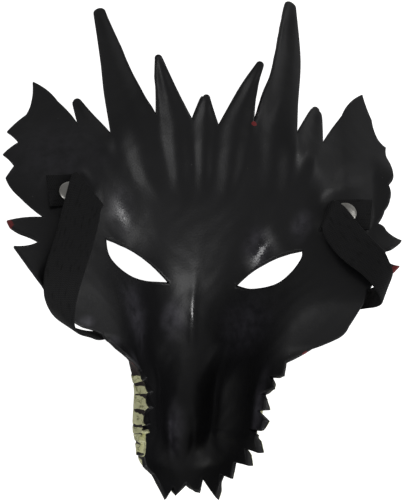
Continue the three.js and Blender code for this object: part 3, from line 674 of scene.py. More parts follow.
class ShellSettings(bpy.types.PropertyGroup):
    """Sizes and colours of the moulded shell."""

    spacing: FloatProperty(
        name="Mesh spacing", description="Distance between the points of the shell's mesh",
        default=1.2 * MM, min=0.5 * MM, unit="LENGTH")
    groove: FloatProperty(
        name="Groove depth", description="Depth of the grooves behind the horns, on the inner face",
        default=1.8 * MM, unit="LENGTH")
    scale_size: FloatProperty(
        name="Scale size", description="Distance between the scales of the outer face",
        default=7.5 * MM, min=2 * MM, unit="LENGTH")
    scale_height: FloatProperty(
        name="Scale height", description="Height of the scales of the outer face",
        default=0.5 * MM, unit="LENGTH")
    skin_colour: FloatVectorProperty(
        name="Skin", description="Colour of the inner skin",
        default=(0.0085, 0.0085, 0.0095, 1.0), **COLOUR)
    skin_roughness: FloatProperty(
        name="Skin roughness", description="Roughness of the inner skin", default=0.43, min=0.0, max=1.0)
    paint_colour: FloatVectorProperty(
        name="Paint", description="Dark paint of the outer face",
        default=(0.016, 0.007, 0.007, 1.0), **COLOUR)
    accent_colour: FloatVectorProperty(
        name="Accent", description="Red paint of the horns, ribs and tips",
        default=(0.23, 0.02, 0.022, 1.0), **COLOUR)
    tooth_colour: FloatVectorProperty(
        name="Teeth", description="Cream paint of the teeth",
        default=(0.92, 0.92, 0.55, 1.0), **COLOUR)


class StrapSettings(bpy.types.PropertyGroup):
    """Sizes and colours of the elastic."""

    thickness: FloatProperty(
        name="Thickness", description="Thickness of the elastic", default=1.2 * MM, unit="LENGTH")
    ribs: IntProperty(
        name="Ribs", description="Number of ribs across the elastic", default=16, min=4)
    rib_height: FloatProperty(
        name="Rib height", description="How far the ribs stand proud", default=0.12 * MM, unit="LENGTH")
    colour: FloatVectorProperty(
        name="Yarn", description="Colour of the yarn", default=(0.021, 0.021, 0.022, 1.0), **COLOUR)


class RivetSettings(bpy.types.PropertyGroup):
    """Sizes and colour of the rivets."""

    cap_radius: FloatProperty(
        name="Cap radius", description="Radius of the domed cap", default=6.3 * MM, unit="LENGTH")
    cap_height: FloatProperty(
        name="Cap height", description="Height of the domed cap", default=2 * MM, unit="LENGTH")
    shank_radius: FloatProperty(
        name="Shank radius", description="Radius of the shank", default=1.9 * MM, unit="LENGTH")
    back_radius: FloatProperty(
        name="Back radius", description="Radius of the cap on the outer face",
        default=5 * MM, unit="LENGTH")
    colour: FloatVectorProperty(
        name="Nickel", description="Colour of the plating", default=(0.5, 0.49, 0.46, 1.0), **COLOUR)


class StageSettings(bpy.types.PropertyGroup):
    """Floor, light and camera."""

    floor_colour: FloatVectorProperty(
        name="Floor", description="Colour of the floor", default=(0.9, 0.9, 0.9, 1.0), **COLOUR)
    light_power: FloatProperty(
        name="Light", description="Power that the soft lights take their shares of",
        default=4.5, unit="POWER")

    camera_distance: FloatProperty(
        name="Camera distance", description="From the camera to the middle of the mask",
        default=1.5, min=0.5, unit="LENGTH")
    yaw: FloatProperty(
        name="Yaw", description="How far left of straight above the camera stands",
        default=np.radians(9.0), unit="ROTATION")
    pitch: FloatProperty(
        name="Pitch", description="How far towards the muzzle the camera stands",
        default=np.radians(7.0), unit="ROTATION")
    roll: FloatProperty(
        name="Roll", description="How far the camera is turned about its own axis",
        default=np.radians(2.5), unit="ROTATION")


class Nodes:
    """A node tree that is filled with few words: add makes a node and sets or links its inputs."""

    def __init__(self, tree):
        self.tree = tree

    def fill(self, inputs, values):
        """Sets or links some of a node's inputs, by name or number."""
        for name, value in values.items():
            if isinstance(value, bpy.types.NodeSocket):
                self.tree.links.new(value, inputs[name])
            else:
                inputs[name].default_value = value

    def add(self, kind, inputs=None, **settings):
        """Makes a node of a kind, sets its settings, and sets or links its inputs."""
        node = self.tree.nodes.new(kind)
        for name, value in settings.items():
            setattr(node, name, value)
        self.fill(node.inputs, inputs or {})
        return node

    def group(self, name, make, inputs):
        """Puts in a shared node group with its own values, and makes it where it isn't there yet."""
        tree = bpy.data.node_groups.get(name) or make(name)
        return self.add("ShaderNodeGroup", inputs, node_tree=tree).outputs

    def math(self, operation, a, b=0.0):
        """One sum on numbers."""
        return self.add("ShaderNodeMath", {0: a, 1: b}, operation=operation).outputs[0]

    def plus(self, a, b):
        """a + b."""
        return self.math("ADD", a, b)

    def minus(self, a, b):
        """a - b."""
        return self.math("SUBTRACT", a, b)

    def times(self, a, b):
        """a times b."""
        return self.math("MULTIPLY", a, b)

    def noise(self, vector, scale, detail):
        """A noise value from 0 to 1, at so many waves a metre."""
        inputs = {"Vector": vector, "Scale": scale, "Detail": detail, "Roughness": 0.55}
        return self.add("ShaderNodeTexNoise", inputs).outputs["Fac"]

    def step(self, value, low, high):
        """A smooth step of a value from low to high."""
        inputs = {"Value": value, "From Min": low, "From Max": high}
        node = self.add("ShaderNodeMapRange", inputs, interpolation_type="SMOOTHSTEP")
        return node.outputs["Result"]

    def blend(self, factor, a, b):
        """Two colours blended by a factor."""
        return self.add("ShaderNodeMix", {"Factor": factor, 6: a, 7: b}, data_type="RGBA").outputs[2]

    def bump(self, height, strength, distance):
        """The normals of a surface that is raised by a height."""
        inputs = {"Height": height, "Strength": strength, "Distance": distance}
        return self.add("ShaderNodeBump", inputs).outputs["Normal"]

    def place(self):
        """The object's own coordinates, in metres."""
        return self.add("ShaderNodeTexCoord").outputs["Object"]

    def attribute(self, name):
        """A value that is stored at the mesh's points."""
        return self.add("ShaderNodeAttribute", attribute_name=name).outputs["Fac"]


def new_group(name, inputs, outputs):
    """A shader node group with named inputs and outputs. An input without a default is a vector.

    Returns its tree, as Nodes, with what comes in and what goes out.
    """
    tree = bpy.data.node_groups.new(name, "ShaderNodeTree")
    for label, default in inputs.items():
        if default is None:
            tree.interface.new_socket(label, in_out="INPUT", socket_type="NodeSocketVector")
        else:
            socket = tree.interface.new_socket(label, in_out="INPUT", socket_type="NodeSocketFloat")
            socket.default_value = default
    for label in outputs:
        tree.interface.new_socket(label, in_out="OUTPUT", socket_type="NodeSocketFloat")
    nodes = Nodes(tree)
    return nodes, nodes.add("NodeGroupInput").outputs, nodes.add("NodeGroupOutput").inputs


def grain_group(name):
    """Skin grain: soft swellings with fine pores on them, as a height, and a slow change of tone."""
    inputs = {"Vector": None, "Grain": 900.0, "Swelling": 140.0, "Pores": 0.35}
    nodes, given, result = new_group(name, inputs, ("Height", "Tone"))
    fine = nodes.noise(given["Vector"], given["Grain"], 2.0)
    soft = nodes.noise(given["Vector"], given["Swelling"], 3.0)
    height = nodes.plus(nodes.times(fine, given["Pores"]), soft)
    nodes.fill(result, {"Height": height, "Tone": nodes.noise(given["Vector"], 35.0, 4.0)})
    return nodes.tree


def ragged_group(name):
    """Ragged paint edge: the mask plus noise, cut off by a smooth step round one half."""
    inputs = {"Mask": 0.0, "Vector": None, "Scale": 300.0, "Raggedness": 0.6, "Softness": 0.06}
    nodes, given, result = new_group(name, inputs, ("Mask",))
    noise = nodes.minus(nodes.noise(given["Vector"], given["Scale"], 4.0), 0.5)
    shifted = nodes.plus(given["Mask"], nodes.times(noise, given["Raggedness"]))
    low, high = nodes.minus(0.5, given["Softness"]), nodes.plus(0.5, given["Softness"])
    nodes.fill(result, {"Mask": nodes.step(shifted, low, high)})
    return nodes.tree


def dust_group(name):
    """Specks of dust: the middles of random cells, where a second noise lets them through."""
    inputs = {"Vector": None, "Scale": 220.0, "Size": 0.06, "Amount": 0.5}
    nodes, given, result = new_group(name, inputs, ("Mask",))
    cells = nodes.add("ShaderNodeTexVoronoi", {"Vector": given["Vector"], "Scale": given["Scale"]})
    near = nodes.math("LESS_THAN", cells.outputs["Distance"], given["Size"])
    rare = nodes.math("GREATER_THAN", nodes.noise(given["Vector"], 90.0, 1.0), given["Amount"])
    nodes.fill(result, {"Mask": nodes.times(near, rare)})
    return nodes.tree


def new_material(name):
    """An empty node material, its tree as Nodes, and the inputs of its shader."""
    material = bpy.data.materials.new(name)
    material.use_nodes = True
    return material, Nodes(material.node_tree), material.node_tree.nodes["Principled BSDF"].inputs


def skin_material(settings):
    """Satin black skin within; dark paint with red accents and cream teeth on the outer face."""
    material, nodes, shader = new_material("foam_skin")
    place = nodes.place()
    grain = nodes.group("skin_grain", grain_group, {"Vector": place})
    dust = nodes.group("dust", dust_group, {"Vector": place, "Scale": 160.0, "Amount": 0.62})["Mask"]

    def ragged(attribute, scale, raggedness, softness):
        """A value of the mesh's points as a mask with a ragged edge."""
        return nodes.group("ragged_edge", ragged_group, {
            "Mask": nodes.attribute(attribute), "Vector": place, "Scale": scale,
            "Raggedness": raggedness, "Softness": softness})["Mask"]

    outer = ragged("outer", 260.0, 0.5, 0.06)
    tooth = ragged("tooth", 260.0, 1.5, 0.06)
    accent = ragged("accent", 520.0, 1.1, 0.25)
    red = ragged("red", 420.0, 0.7, 0.12)
    skin = nodes.blend(grain["Tone"], settings.skin_colour, PALE_SKIN)
    skin = nodes.blend(nodes.times(dust, 0.12), skin, SKIN_DUST)
    # Painted highlight: a lighter grey, broken up by noise, is laid on the skin at the painted glow
    # spots.
    patch = nodes.step(nodes.noise(place, 150.0, 5.0), 0.1, 0.8)
    skin = nodes.blend(nodes.times(nodes.attribute("painted_glow"), patch), skin, GLOW_GREY)
    paint = nodes.blend(nodes.times(accent, 0.9), settings.paint_colour, settings.accent_colour)
    # Painted shade: the paint darkens where the outer face lies low between the relief.
    paint = nodes.blend(nodes.times(nodes.attribute("recess_shade"), 0.85), paint, RECESS_SHADE_COLOUR)
    stain = nodes.step(nodes.noise(place, 420.0, 3.0), 0.5, 0.68)
    cream = nodes.blend(nodes.times(stain, 0.75), settings.tooth_colour, TOOTH_STAIN)
    colour = nodes.blend(outer, skin, paint)
    colour = nodes.blend(red, colour, settings.accent_colour)
    colour = nodes.blend(tooth, colour, cream)
    rubbed = nodes.times(nodes.attribute("rubbed"), nodes.noise(place, 700.0, 3.0))
    rough = nodes.plus(settings.skin_roughness - 0.05, nodes.times(grain["Tone"], 0.1))
    rough = nodes.plus(rough, nodes.times(outer, 0.08))
    rough = nodes.minus(rough, nodes.times(rubbed, 0.36))
    nodes.fill(shader, {
        "Base Color": colour, "Roughness": rough, "Specular IOR Level": 0.45,
        "Normal": nodes.bump(grain["Height"], 0.35, 0.0004)})
    return material


def elastic_material(settings):
    """Woven elastic: ribs along it, crossed by short stitches that swap from rib to rib."""
    material, nodes, shader = new_material("ribbed_elastic")
    place = nodes.place()
    weave = nodes.add("ShaderNodeUVMap", uv_map="weave").outputs["UV"]
    parts = nodes.add("ShaderNodeSeparateXYZ", {"Vector": weave}).outputs
    rib = nodes.times(parts["Y"], float(settings.ribs))
    swap = nodes.times(nodes.math("FLOOR", rib), 0.5)
    stitch = nodes.plus(nodes.times(parts["X"], 900.0), swap)
    wave = nodes.math("ABSOLUTE", nodes.math("SINE", nodes.times(stitch, np.pi)))
    fuzz = nodes.noise(place, 1800.0, 2.0)
    dust = nodes.group("dust", dust_group, {"Vector": place, "Scale": 260.0, "Amount": 0.66})["Mask"]
    stretched = {"X": nodes.times(parts["X"], 110.0), "Y": nodes.times(rib, 0.8)}
    thread = nodes.add("ShaderNodeCombineXYZ", stretched).outputs["Vector"]
    # Darker streaks that run along the ribs, from a noise stretched along the elastic.
    rib_streaks = nodes.step(nodes.noise(thread, 1.3, 2.0), 0.52, 0.74)
    yarn = nodes.blend(wave, STITCH_GAP, settings.colour)
    yarn = nodes.blend(nodes.times(fuzz, 0.35), yarn, YARN_FUZZ)
    yarn = nodes.blend(nodes.times(dust, 0.1), yarn, YARN_LINT)
    yarn = nodes.blend(nodes.times(rib_streaks, 0.7), yarn, YARN_SHADE)
    height = nodes.plus(wave, nodes.times(fuzz, 0.5))
    nodes.fill(shader, {
        "Base Color": yarn, "Normal": nodes.bump(height, 0.6, 0.00015), "Roughness": 0.85,
        "Specular IOR Level": 0.25, "Sheen Weight": 0.05, "Sheen Roughness": 0.5})
    return material


def nickel_material(settings):
    """Nickel plating, slightly dulled: fine scratches and a faint tarnish."""
    material, nodes, shader = new_material("nickel")
    place = nodes.place()
    grain = nodes.group("skin_grain", grain_group, {
        "Vector": place, "Grain": 2600.0, "Swelling": 320.0, "Pores": 0.6})
    tarnish = nodes.step(nodes.noise(place, 260.0, 4.0), 0.45, 0.8)
    nodes.fill(shader, {
        "Base Color": nodes.blend(nodes.times(tarnish, 0.4), settings.colour, TARNISH),
        "Roughness": nodes.plus(0.26, nodes.times(grain["Tone"], 0.18)), "Metallic": 1.0,
        "Normal": nodes.bump(grain["Height"], 0.2, 0.0001)})
    return material


def new_piece(name, points, faces, material, attributes=None, uv=None):
    """A smooth mesh object from points in millimetres of the face's frame, with values at its points.

    faces is a list of whole arrays, of triangles or of quads. uv, where given, is stored at each point.
    """
    mesh = bpy.data.meshes.new(name)
    corners = np.concatenate([part.ravel() for part in faces])
    sizes = np.concatenate([np.full(len(part), part.shape[1]) for part in faces])
    mesh.vertices.add(len(points))
    mesh.vertices.foreach_set("co", ((points + SHIFT) * MM).astype(np.float32).ravel())
    mesh.loops.add(len(corners))
    mesh.loops.foreach_set("vertex_index", corners.astype(np.int32))
    mesh.polygons.add(len(sizes))
    starts = np.concatenate([[0], np.cumsum(sizes)[:-1]])
    mesh.polygons.foreach_set("loop_start", starts.astype(np.int32))
    mesh.polygons.foreach_set("use_smooth", np.ones(len(sizes), bool))
    mesh.update(calc_edges=True)
    if mesh.validate():
        raise RuntimeError(f"{name}: the mesh had faulty faces")
    for label, values in (attributes or {}).items():
        layer = mesh.attributes.new(label, "FLOAT", "POINT")
        layer.data.foreach_set("value", values.astype(np.float32))
    if uv is not None:
        layer = mesh.uv_layers.new(name="weave")
        layer.data.foreach_set("uv", uv[corners].astype(np.float32).ravel())
    mesh.materials.append(material)
    piece = bpy.data.objects.new(name, mesh)
    bpy.context.scene.collection.objects.link(piece)
    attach(piece, "root")
    return piece


def lip_band(u, v):
    """1 along the lip, from the gum outwards, and 0 elsewhere."""
    return ease(lip_distance(u, v), -16, -10) * (1 - ease(v, -71, -66))


def tooth_field(u, v):
    """How much a place is tooth: 1 inside a tooth, 0 between teeth and past the gum.

    The angle along the lip comes from the squarish ellipse, and the distance outside the lip from its
    norm. A place is tooth where the outline stands out at its angle, and from the gum outwards.
    """
    level = np.maximum(lip_level(u, v), 1e-6)
    share = np.clip(np.abs(u) / (LIP["across"] * level), 0, 1) ** (LIP["power"] / 2)
    angle = np.degrees(np.arccos(np.clip(np.sign(u) * share, -1, 1)))
    height = np.interp(angle, *np.array(TEETH, float).T)
    return lip_band(u, v) * ease(height - 0.3 * (lip_distance(u, v) + 12), -1.0, 1.0)


def tooth_inside(u, v):
    """Cream that came round the edge on to the inner face, along the lower left lip."""
    band = ease(lip_distance(u, v), -9, -3) * (1 - ease(u, -48, -40))
    return band * plateau(v, -132, -127, -114, -106)


def red_spots(u, v):
    """Red paint that came round the edge: the greatest of a few round spots."""
    total = np.zeros_like(u)
    for spot_u, spot_v, size in RED_SPOTS:
        total = np.maximum(total, crest(np.hypot(u - spot_u, v - spot_v), size))
    return total


def scale_relief(u, v, size):
    """Scales: 1 minus the squared distance to the nearest point of a grid with every other row aside."""
    row = size * np.sqrt(3) / 2
    best = np.full(u.shape, np.inf)
    for shift in (0.0, 0.5):
        du = (u / size - shift) - np.round(u / size - shift)
        dv = (v / (2 * row) - shift) - np.round(v / (2 * row) - shift)
        best = np.minimum(best, np.hypot(du * size, dv * 2 * row))
    return np.clip(1 - (best / (SCALE_HALF * size)) ** 2, 0, 1)


def outer_detail(u, v, relief, tooth, size, height):
    """Finer relief of the outer face: scales between the ribs, rings round the horns, and the teeth.

    The scales fade where the relief is high, and the rings are |sin|^3 of the way along each horn.
    """
    open_field = 1 - ease(relief, 0.6, 2.2)
    detail = height * scale_relief(u, v, size) * open_field * (1 - tooth)
    for along, aside, _, reach, _ in horn_places(u, v):
        wave = np.sin(along * HORN_RINGS["radians"] + 0.5 * aside / reach)
        ring = HORN_RINGS["depth"] * np.abs(wave) ** HORN_RINGS["sharpness"]
        detail -= ring * ease(along, 0.45, 0.65) * (np.abs(aside) < reach * 2)
    return detail + TOOTH_HEIGHT * tooth


def inner_detail(u, v):
    """Fine relief of the inner face: the nose's bell-shaped channel, the snout's oval rim, ripples."""
    channel = NOSE_CHANNEL * np.exp(-(u / 2.8) ** 2) * plateau(v, -62, -42, -26, -12)
    oval = np.hypot((u + 0.5) / 8, (v + 105) / 19)
    across = np.sin(0.41 * u + 1.3 * np.sin(0.17 * v))
    down = np.sin(0.37 * v + 1.1 * np.sin(0.21 * u))
    return SNOUT_RIM * crest(oval - 1, 0.4) - channel + RIPPLE * across * down


def shell_fades(u, v):
    """0 at the mask's edge, at the eye holes and on the rivets' pads, and 1 well away from each."""
    edge = ring_distance(u, v, OUTLINE[::2])
    eye = np.minimum(*(ring_distance(u, v, ring) for ring in EYE_RINGS))
    pad = np.minimum(*(np.hypot(u - pad["u"], v - pad["v"]) for pad in PADS.values()))
    return ease(edge, 0, EDGE_WIDTH), ease(eye, 0, EYE_EDGE_WIDTH), ease(pad, PAD_FLAT, PAD_BLEND)


def rim_outward(points, sides, ring, face):
    """The direction out of the mask at each point of the edges.

    On the pattern it is the sum of the two sides' normals, and half a millimetre of it is then
    carried over to the folded face.
    """
    a, b = sides.T
    along = unit(points[b] - points[a])
    outward = np.zeros_like(points)
    for end in (a, b):
        np.add.at(outward, end, np.stack([along[:, 1], -along[:, 0]], axis=-1))
    return unit(inner_face(*(points[ring] + 0.5 * unit(outward[ring])).T) - face[ring])


def shell_faces(triangles, sides, ring, count):
    """The inner face's triangles, the outer face's turned over, and quads from ring to ring of the rim.

    The points come in this order: the inner face, the outer face, and the rim's rings in between.
    """
    a, b = sides.T
    order = np.full(count, -1)
    order[ring] = np.arange(len(ring))
    steps = [(a, b)]
    for k in range(len(RIM_STEPS)):
        start = 2 * count + k * len(ring)
        steps.append((start + order[a], start + order[b]))
    steps.append((count + a, count + b))
    rim = [np.stack([s[0], t[0], t[1], s[1]], axis=-1) for s, t in zip(steps, steps[1:])]
    return [triangles, count + triangles[:, ::-1], *rim]


def shell_values(u, v, ring, relief, tooth, detail, from_edge):
    """Where the skin is painted, rubbed, given painted highlight and glow, and painted shade in its
    recesses, at the points of both faces and the rim.
    """
    def layers(on_inner, on_outer, shares=AS_INSIDE):
        """The two faces' values, and for each ring of the rim those a share of the way between."""
        between = [mix(on_inner[ring], on_outer[ring], share) for share in shares]
        return np.concatenate([on_inner, on_outer, *between])

    nothing = np.zeros_like(u)
    horn_tip = np.zeros_like(u)
    for along, aside, _, reach, _ in horn_places(u, v):
        horn_tip += ease(along, 0.55, 1.0) * (np.abs(aside) < 2 * reach)
    accent = np.clip(0.25 * relief / 3 + 0.5 * horn_tip + 0.5 * (1 - from_edge), 0, 1)
    # Painted shade in the outer face's low places: 1 where relief and detail are low, fading towards the
    # edge.
    recess_shade = np.clip(1 - relief / 1.5 - detail / 0.5, 0, 1) * from_edge
    red = red_spots(u, v)
    return {
        "outer": layers(nothing, np.ones_like(u)),
        "tooth": layers(tooth_inside(u, v), tooth),
        "accent": layers(nothing, accent * (1 - lip_band(u, v))),
        "recess_shade": layers(nothing, recess_shade),
        "red": layers(red, red),
        "rubbed": layers(oval_spots(u, v, RUBBED), nothing, RIM_STEPS),
        # Painted highlight and glow spots on the inner face.
        "painted_glow": layers(oval_spots(u, v, PAINTED_GLOWS), nothing, RIM_STEPS),
    }


def shell_piece(settings):
    """The shell: the flat mesh folded twice, as inner and outer face, with a rounded rim between them.

    Inner face: the folded pattern less its hollows. Outer face: less the foam's thickness and relief
    too. Rim: between the two edges, bulging outwards by the sine of the way across.
    """
    points, triangles, sides = flat_mesh(settings.spacing / MM)
    u, v = points.T
    ring = np.unique(sides)
    from_edge, from_eye, padded = shell_fades(u, v)
    relief, tooth = outer_relief(u, v), tooth_field(u, v)
    detail = outer_detail(u, v, relief, tooth, settings.scale_size / MM, settings.scale_height / MM)
    foam = mix(FOAM_EDGE, FOAM, from_edge) * mix(EYE_EDGE_FOAM, 1, from_eye)
    foam += relief * from_edge * mix(EYE_EDGE_RELIEF, 1, from_eye)
    foam += detail * mix(EDGE_DETAIL, 1, from_edge)
    foam = mix(PAD_FOAM, foam, padded)
    hollow = inner_hollow(u, v, settings.groove / MM)
    normal = surface_normal(inner_face, u, v)
    face = inner_face(u, v)
    face[:, 0] += NOSE_SWAY * plateau(v, -90, -55, -50, -14) * (1 - ease(np.abs(u), 5, 30))
    inner = face + normal * (inner_detail(u, v) * padded * from_edge - hollow)[:, None]
    outer = face - normal * (hollow + foam)[:, None]
    outward = rim_outward(points, sides, ring, face)
    layers = [inner, outer]
    for share in RIM_STEPS:
        bulge = RIM_BULGE * np.sin(np.pi * share)
        layers.append(mix(inner[ring], outer[ring], share) + outward * bulge)
    body = np.vstack(layers)
    body[:, 2] = np.maximum(body[:, 2], 0.0)
    faces = shell_faces(triangles, sides, ring, len(points))
    values = shell_values(u, v, ring, relief, tooth, detail, from_edge)
    piece = new_piece("foam_mask", body, faces, skin_material(settings), values)
    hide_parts("mask_shell")
    return piece


def route_edges():
    """The two edges of the elastic, station by station, in millimetres."""
    edges = []
    for kind, *pair in STRAP_ROUTE:
        if kind == "on":
            u, v, lift = np.array(pair, float).T
            pair = inner_face(u, v) + surface_normal(inner_face, u, v) * lift[:, None]
        edges.append(pair)
    return np.array(edges, float)


def ring_quads(rings, around):
    """The numbers of so many rings' points, those of their neighbours, and quads from ring to ring."""
    index = np.arange(rings * around).reshape(rings, around)
    ahead = np.roll(index, -1, axis=1)
    quads = np.stack([index[:-1], ahead[:-1], ahead[1:], index[1:]], axis=-1).reshape(-1, 4)
    return index, ahead, quads


def flat_end(ring):
    """Quads across the end of a flat profile, between its upper points and the lower ones under them."""
    upper, lower = ring[:len(ring) // 2], ring[::-1][:len(ring) // 2]
    return np.stack([upper[:-1], lower[:-1], lower[1:], upper[1:]], axis=-1)


def strap_piece(settings):
    """The elastic: a flat closed profile with ribs, carried along a smooth route.

    Across, the half thickness is a constant plus the ribs' |sin|, times the square root of 1 - s^24,
    where s goes from -1 at one edge to 1 at the other. Along, both edges are Catmull-Rom curves
    through the stations.
    """
    half, rib_height = settings.thickness / MM / 2, settings.rib_height / MM
    edges = route_edges()
    count = (len(edges) - 1) * STRAP_STEPS
    left, right = (spline(edges[:, k], count, True) for k in (0, 1))
    proud = unit(np.cross(np.gradient(left + right, axis=0), right - left))
    across = np.concatenate([[0.0], np.linspace(0.012, 0.988, STRAP_ACROSS), [1.0]])
    ribs = np.abs(np.sin(np.pi * settings.ribs * across)) * rib_height
    rounding = np.sqrt(np.clip(1 - (2 * across - 1) ** STRAP_SQUARENESS, 0.05, 1))
    body = (half - rib_height + ribs) * rounding
    share = np.concatenate([across, across[::-1]])
    lift = np.concatenate([body, -body[::-1]])
    points = (left[:, None] + (right - left)[:, None] * share[None, :, None]
              + proud[:, None] * lift[None, :, None])
    rings, around = points.shape[:2]
    index, _, quads = ring_quads(rings, around)
    faces = [quads, flat_end(index[0]), flat_end(index[-1])[:, [0, 3, 2, 1]]]
    middle = (left + right) / 2
    length = np.concatenate([[0], np.cumsum(np.linalg.norm(np.diff(middle, axis=0), axis=1))]) * MM
    uv = np.stack([np.repeat(length, around), np.tile(share, rings)], axis=-1)
    piece = new_piece("elastic_strap", points.reshape(-1, 3), faces, elastic_material(settings), uv=uv)
    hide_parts("head_strap")
    return piece


def arc(radius, height, wide, tall, degrees):
    """Points of an ellipse about a radius and height, at angles up from the outward direction."""
    angle = np.radians(degrees)
    return np.stack([radius + wide * np.cos(angle), height + tall * np.sin(angle)], axis=-1)


def rivet_profile(settings):
    """Radius and height along a rivet, from the foot's middle to the cap's: straight runs and arcs."""
    cap, tall = settings.cap_radius / MM, settings.cap_height / MM
    shank, back = settings.shank_radius / MM, settings.back_radius / MM
    base = -PAD_FOAM - BACK_GAP
    low = base - BACK_THICKNESS
    quarter = np.linspace(-90, 0, 9)[1:]
    foot = [(0, low), (back / 2, low + 0.4 * BACK_BULGE)]
    edge = arc(back - BACK_CURL, low + BACK_BULGE + BACK_CURL, BACK_CURL, BACK_CURL, quarter)
    top = [(back, base), (shank, base), (shank, UNDER_CAP), (cap - CAP_CURL, UNDER_CAP)]
    curl = arc(cap - CAP_CURL, UNDER_CAP + CAP_CURL, CAP_CURL, CAP_CURL, quarter)
    dome = arc(0, UNDER_CAP + CAP_CURL, cap, tall - CAP_CURL, np.linspace(12, 90, 24)[:-1])
    return np.vstack([foot, edge, top, curl, dome, (0, UNDER_CAP + tall)])


def rivet_piece(side, settings, material):
    """A rivet: its profile turned about the pad's normal, closed at both poles."""
    pad = PADS[side]
    profile = rivet_profile(settings)
    angle = np.linspace(0, 2 * np.pi, RIVET_SIDES, endpoint=False)
    across = pad["right"] * np.cos(angle)[:, None] + pad["up"] * np.sin(angle)[:, None]
    rings = profile[1:-1]
    body = (pad["centre"] + across[None] * rings[:, 0, None, None]
            + pad["normal"] * rings[:, 1, None, None]).reshape(-1, 3)
    poles = pad["centre"] + pad["normal"] * profile[[0, -1], 1][:, None]
    index, ahead, quads = ring_quads(len(rings), RIVET_SIDES)
    foot = np.stack([np.full(RIVET_SIDES, len(body)), ahead[0], index[0]], axis=-1)
    head = np.stack([np.full(RIVET_SIDES, len(body) + 1), index[-1], ahead[-1]], axis=-1)
    piece = new_piece(f"nickel_rivet_{side}", np.vstack([body, poles]), [quads, foot, head], material)
    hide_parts(f"rivet_{side}")
    return piece


def area_light(name, direction, distance, size, power):
    """A soft rectangular light that stands in a direction from the mask and faces it."""
    light = bpy.data.lights.new(name, "AREA")
    light.shape = "RECTANGLE"
    light.size, light.size_y = size
    light.energy = power
    lamp = bpy.data.objects.new(name, light)
    away = Vector(direction).normalized()
    lamp.location = away * distance + AIM
    lamp.rotation_euler = away.to_track_quat("Z", "Y").to_euler()
    bpy.context.scene.collection.objects.link(lamp)


def stage_camera(settings):
    """The camera: above the mask, turned by its yaw, pitch and roll, and aimed at the mask's middle."""
    yaw, pitch, roll = settings.yaw, settings.pitch, settings.roll
    backwards = Vector((-np.tan(yaw), -np.tan(pitch), 1.0)).normalized()
    right = (-backwards).cross(Vector((-np.sin(roll), np.cos(roll), 0.0))).normalized()
    turn = Matrix((right, backwards.cross(right), backwards)).transposed().to_4x4()
    data = bpy.data.cameras.new("camera")
    data.sensor_fit = "VERTICAL"
    data.sensor_height = SENSOR
    data.lens = SENSOR * settings.camera_distance / FRAME_HEIGHT
    camera = bpy.data.objects.new("camera", data)
    place = Vector(SHIFT * MM) + AIM + backwards * settings.camera_distance
    camera.matrix_world = Matrix.Translation(place) @ turn
    bpy.context.scene.collection.objects.link(camera)
    bpy.context.scene.camera = camera


def stage_floor(settings):
    """A pale floor, just clear of the mask, that the camera sees as white."""
    mesh = bpy.data.meshes.new("floor")
    signs = ((-1, -1), (1, -1), (1, 1), (-1, 1))
    corners = [(x * FLOOR_REACH, y * FLOOR_REACH, -FLOOR_DEPTH) for x, y in signs]
    mesh.from_pydata(corners, [], [(0, 1, 2, 3)])
    material, nodes, shader = new_material("floor")
    seen = nodes.add("ShaderNodeLightPath").outputs["Is Camera Ray"]
    nodes.fill(shader, {
        "Base Color": settings.floor_colour, "Roughness": 1.0, "Specular IOR Level": 0.0,
        "Emission Color": WHITE, "Emission Strength": seen})
    mesh.materials.append(material)
    floor = bpy.data.objects.new("floor", mesh)
    bpy.context.scene.collection.objects.link(floor)


def stage_sky():
    """A white sky that lights the mask faintly and that the camera sees at full strength."""
    world = bpy.data.worlds.new("studio")
    world.use_nodes = True
    nodes = Nodes(world.node_tree)
    seen = nodes.add("ShaderNodeLightPath").outputs["Is Camera Ray"]
    strength = nodes.plus(nodes.times(seen, 1 - SKY_LIGHT), SKY_LIGHT)
    nodes.fill(world.node_tree.nodes["Background"].inputs, {"Color": WHITE, "Strength": strength})
    bpy.context.scene.world = world


class DRAGON_OT_shell(bpy.types.Operator):
    """Builds the moulded shell of the mask."""

    bl_idname = "dragon_mask.make_shell"
    bl_label = "Make the shell"

    def execute(self, context):
        shell_piece(context.scene.mask_shell)
        return {"FINISHED"}


class DRAGON_OT_strap(bpy.types.Operator):
    """Builds the elastic, riveted at both temples and pulled round the front."""

    bl_idname = "dragon_mask.make_strap"
    bl_label = "Make the elastic"

    def execute(self, context):
        strap_piece(context.scene.mask_strap)
        return {"FINISHED"}


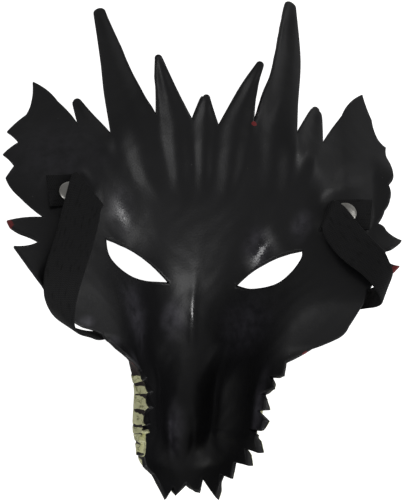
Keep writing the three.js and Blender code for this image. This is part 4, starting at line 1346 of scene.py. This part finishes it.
class DRAGON_OT_rivets(bpy.types.Operator):
    """Builds the two rivets."""

    bl_idname = "dragon_mask.make_rivets"
    bl_label = "Make the rivets"

    def execute(self, context):
        settings = context.scene.mask_rivets
        material = nickel_material(settings)
        for side in PADS:
            rivet_piece(side, settings, material)
        return {"FINISHED"}


class DRAGON_OT_stage(bpy.types.Operator):
    """Builds the floor, the lights and the camera."""

    bl_idname = "dragon_mask.make_stage"
    bl_label = "Make the stage"

    def execute(self, context):
        settings = context.scene.mask_stage
        stage_floor(settings)
        for name, (direction, distance, size, share) in LIGHTS.items():
            area_light(name, direction, distance, size, share * settings.light_power)
        stage_sky()
        context.scene.view_settings.view_transform = "Standard"
        stage_camera(settings)
        return {"FINISHED"}


class DRAGON_PT_pieces(bpy.types.Panel):
    """Lists the steps that build the mask."""

    bl_label = "Dragon mask"
    bl_space_type = "VIEW_3D"
    bl_region_type = "UI"
    bl_category = "Dragon mask"

    def draw(self, context):
        for operator in OPERATORS:
            self.layout.operator(operator.bl_idname)
        for label in SETTINGS:
            group = getattr(context.scene, label)
            for name in group.__annotations__:
                self.layout.prop(group, name)


OPERATORS = (DRAGON_OT_shell, DRAGON_OT_strap, DRAGON_OT_rivets, DRAGON_OT_stage)
SETTINGS = {
    "mask_shell": ShellSettings, "mask_strap": StrapSettings,
    "mask_rivets": RivetSettings, "mask_stage": StageSettings,
}
CLASSES = (*SETTINGS.values(), *OPERATORS, DRAGON_PT_pieces)


def register():
    """Makes the settings, operators and panel known to Blender."""
    for kind in CLASSES:
        bpy.utils.register_class(kind)
    for label, kind in SETTINGS.items():
        setattr(bpy.types.Scene, label, PointerProperty(type=kind))


def unregister():
    """Takes them away again, the last one first."""
    for label in SETTINGS:
        delattr(bpy.types.Scene, label)
    for kind in reversed(CLASSES):
        bpy.utils.unregister_class(kind)


def main():
    """Builds the whole scene."""
    register()
    bpy.ops.dragon_mask.make_shell()
    bpy.ops.dragon_mask.make_strap()
    bpy.ops.dragon_mask.make_rivets()
    bpy.ops.dragon_mask.make_stage()


if __name__ == "__main__":
    main()
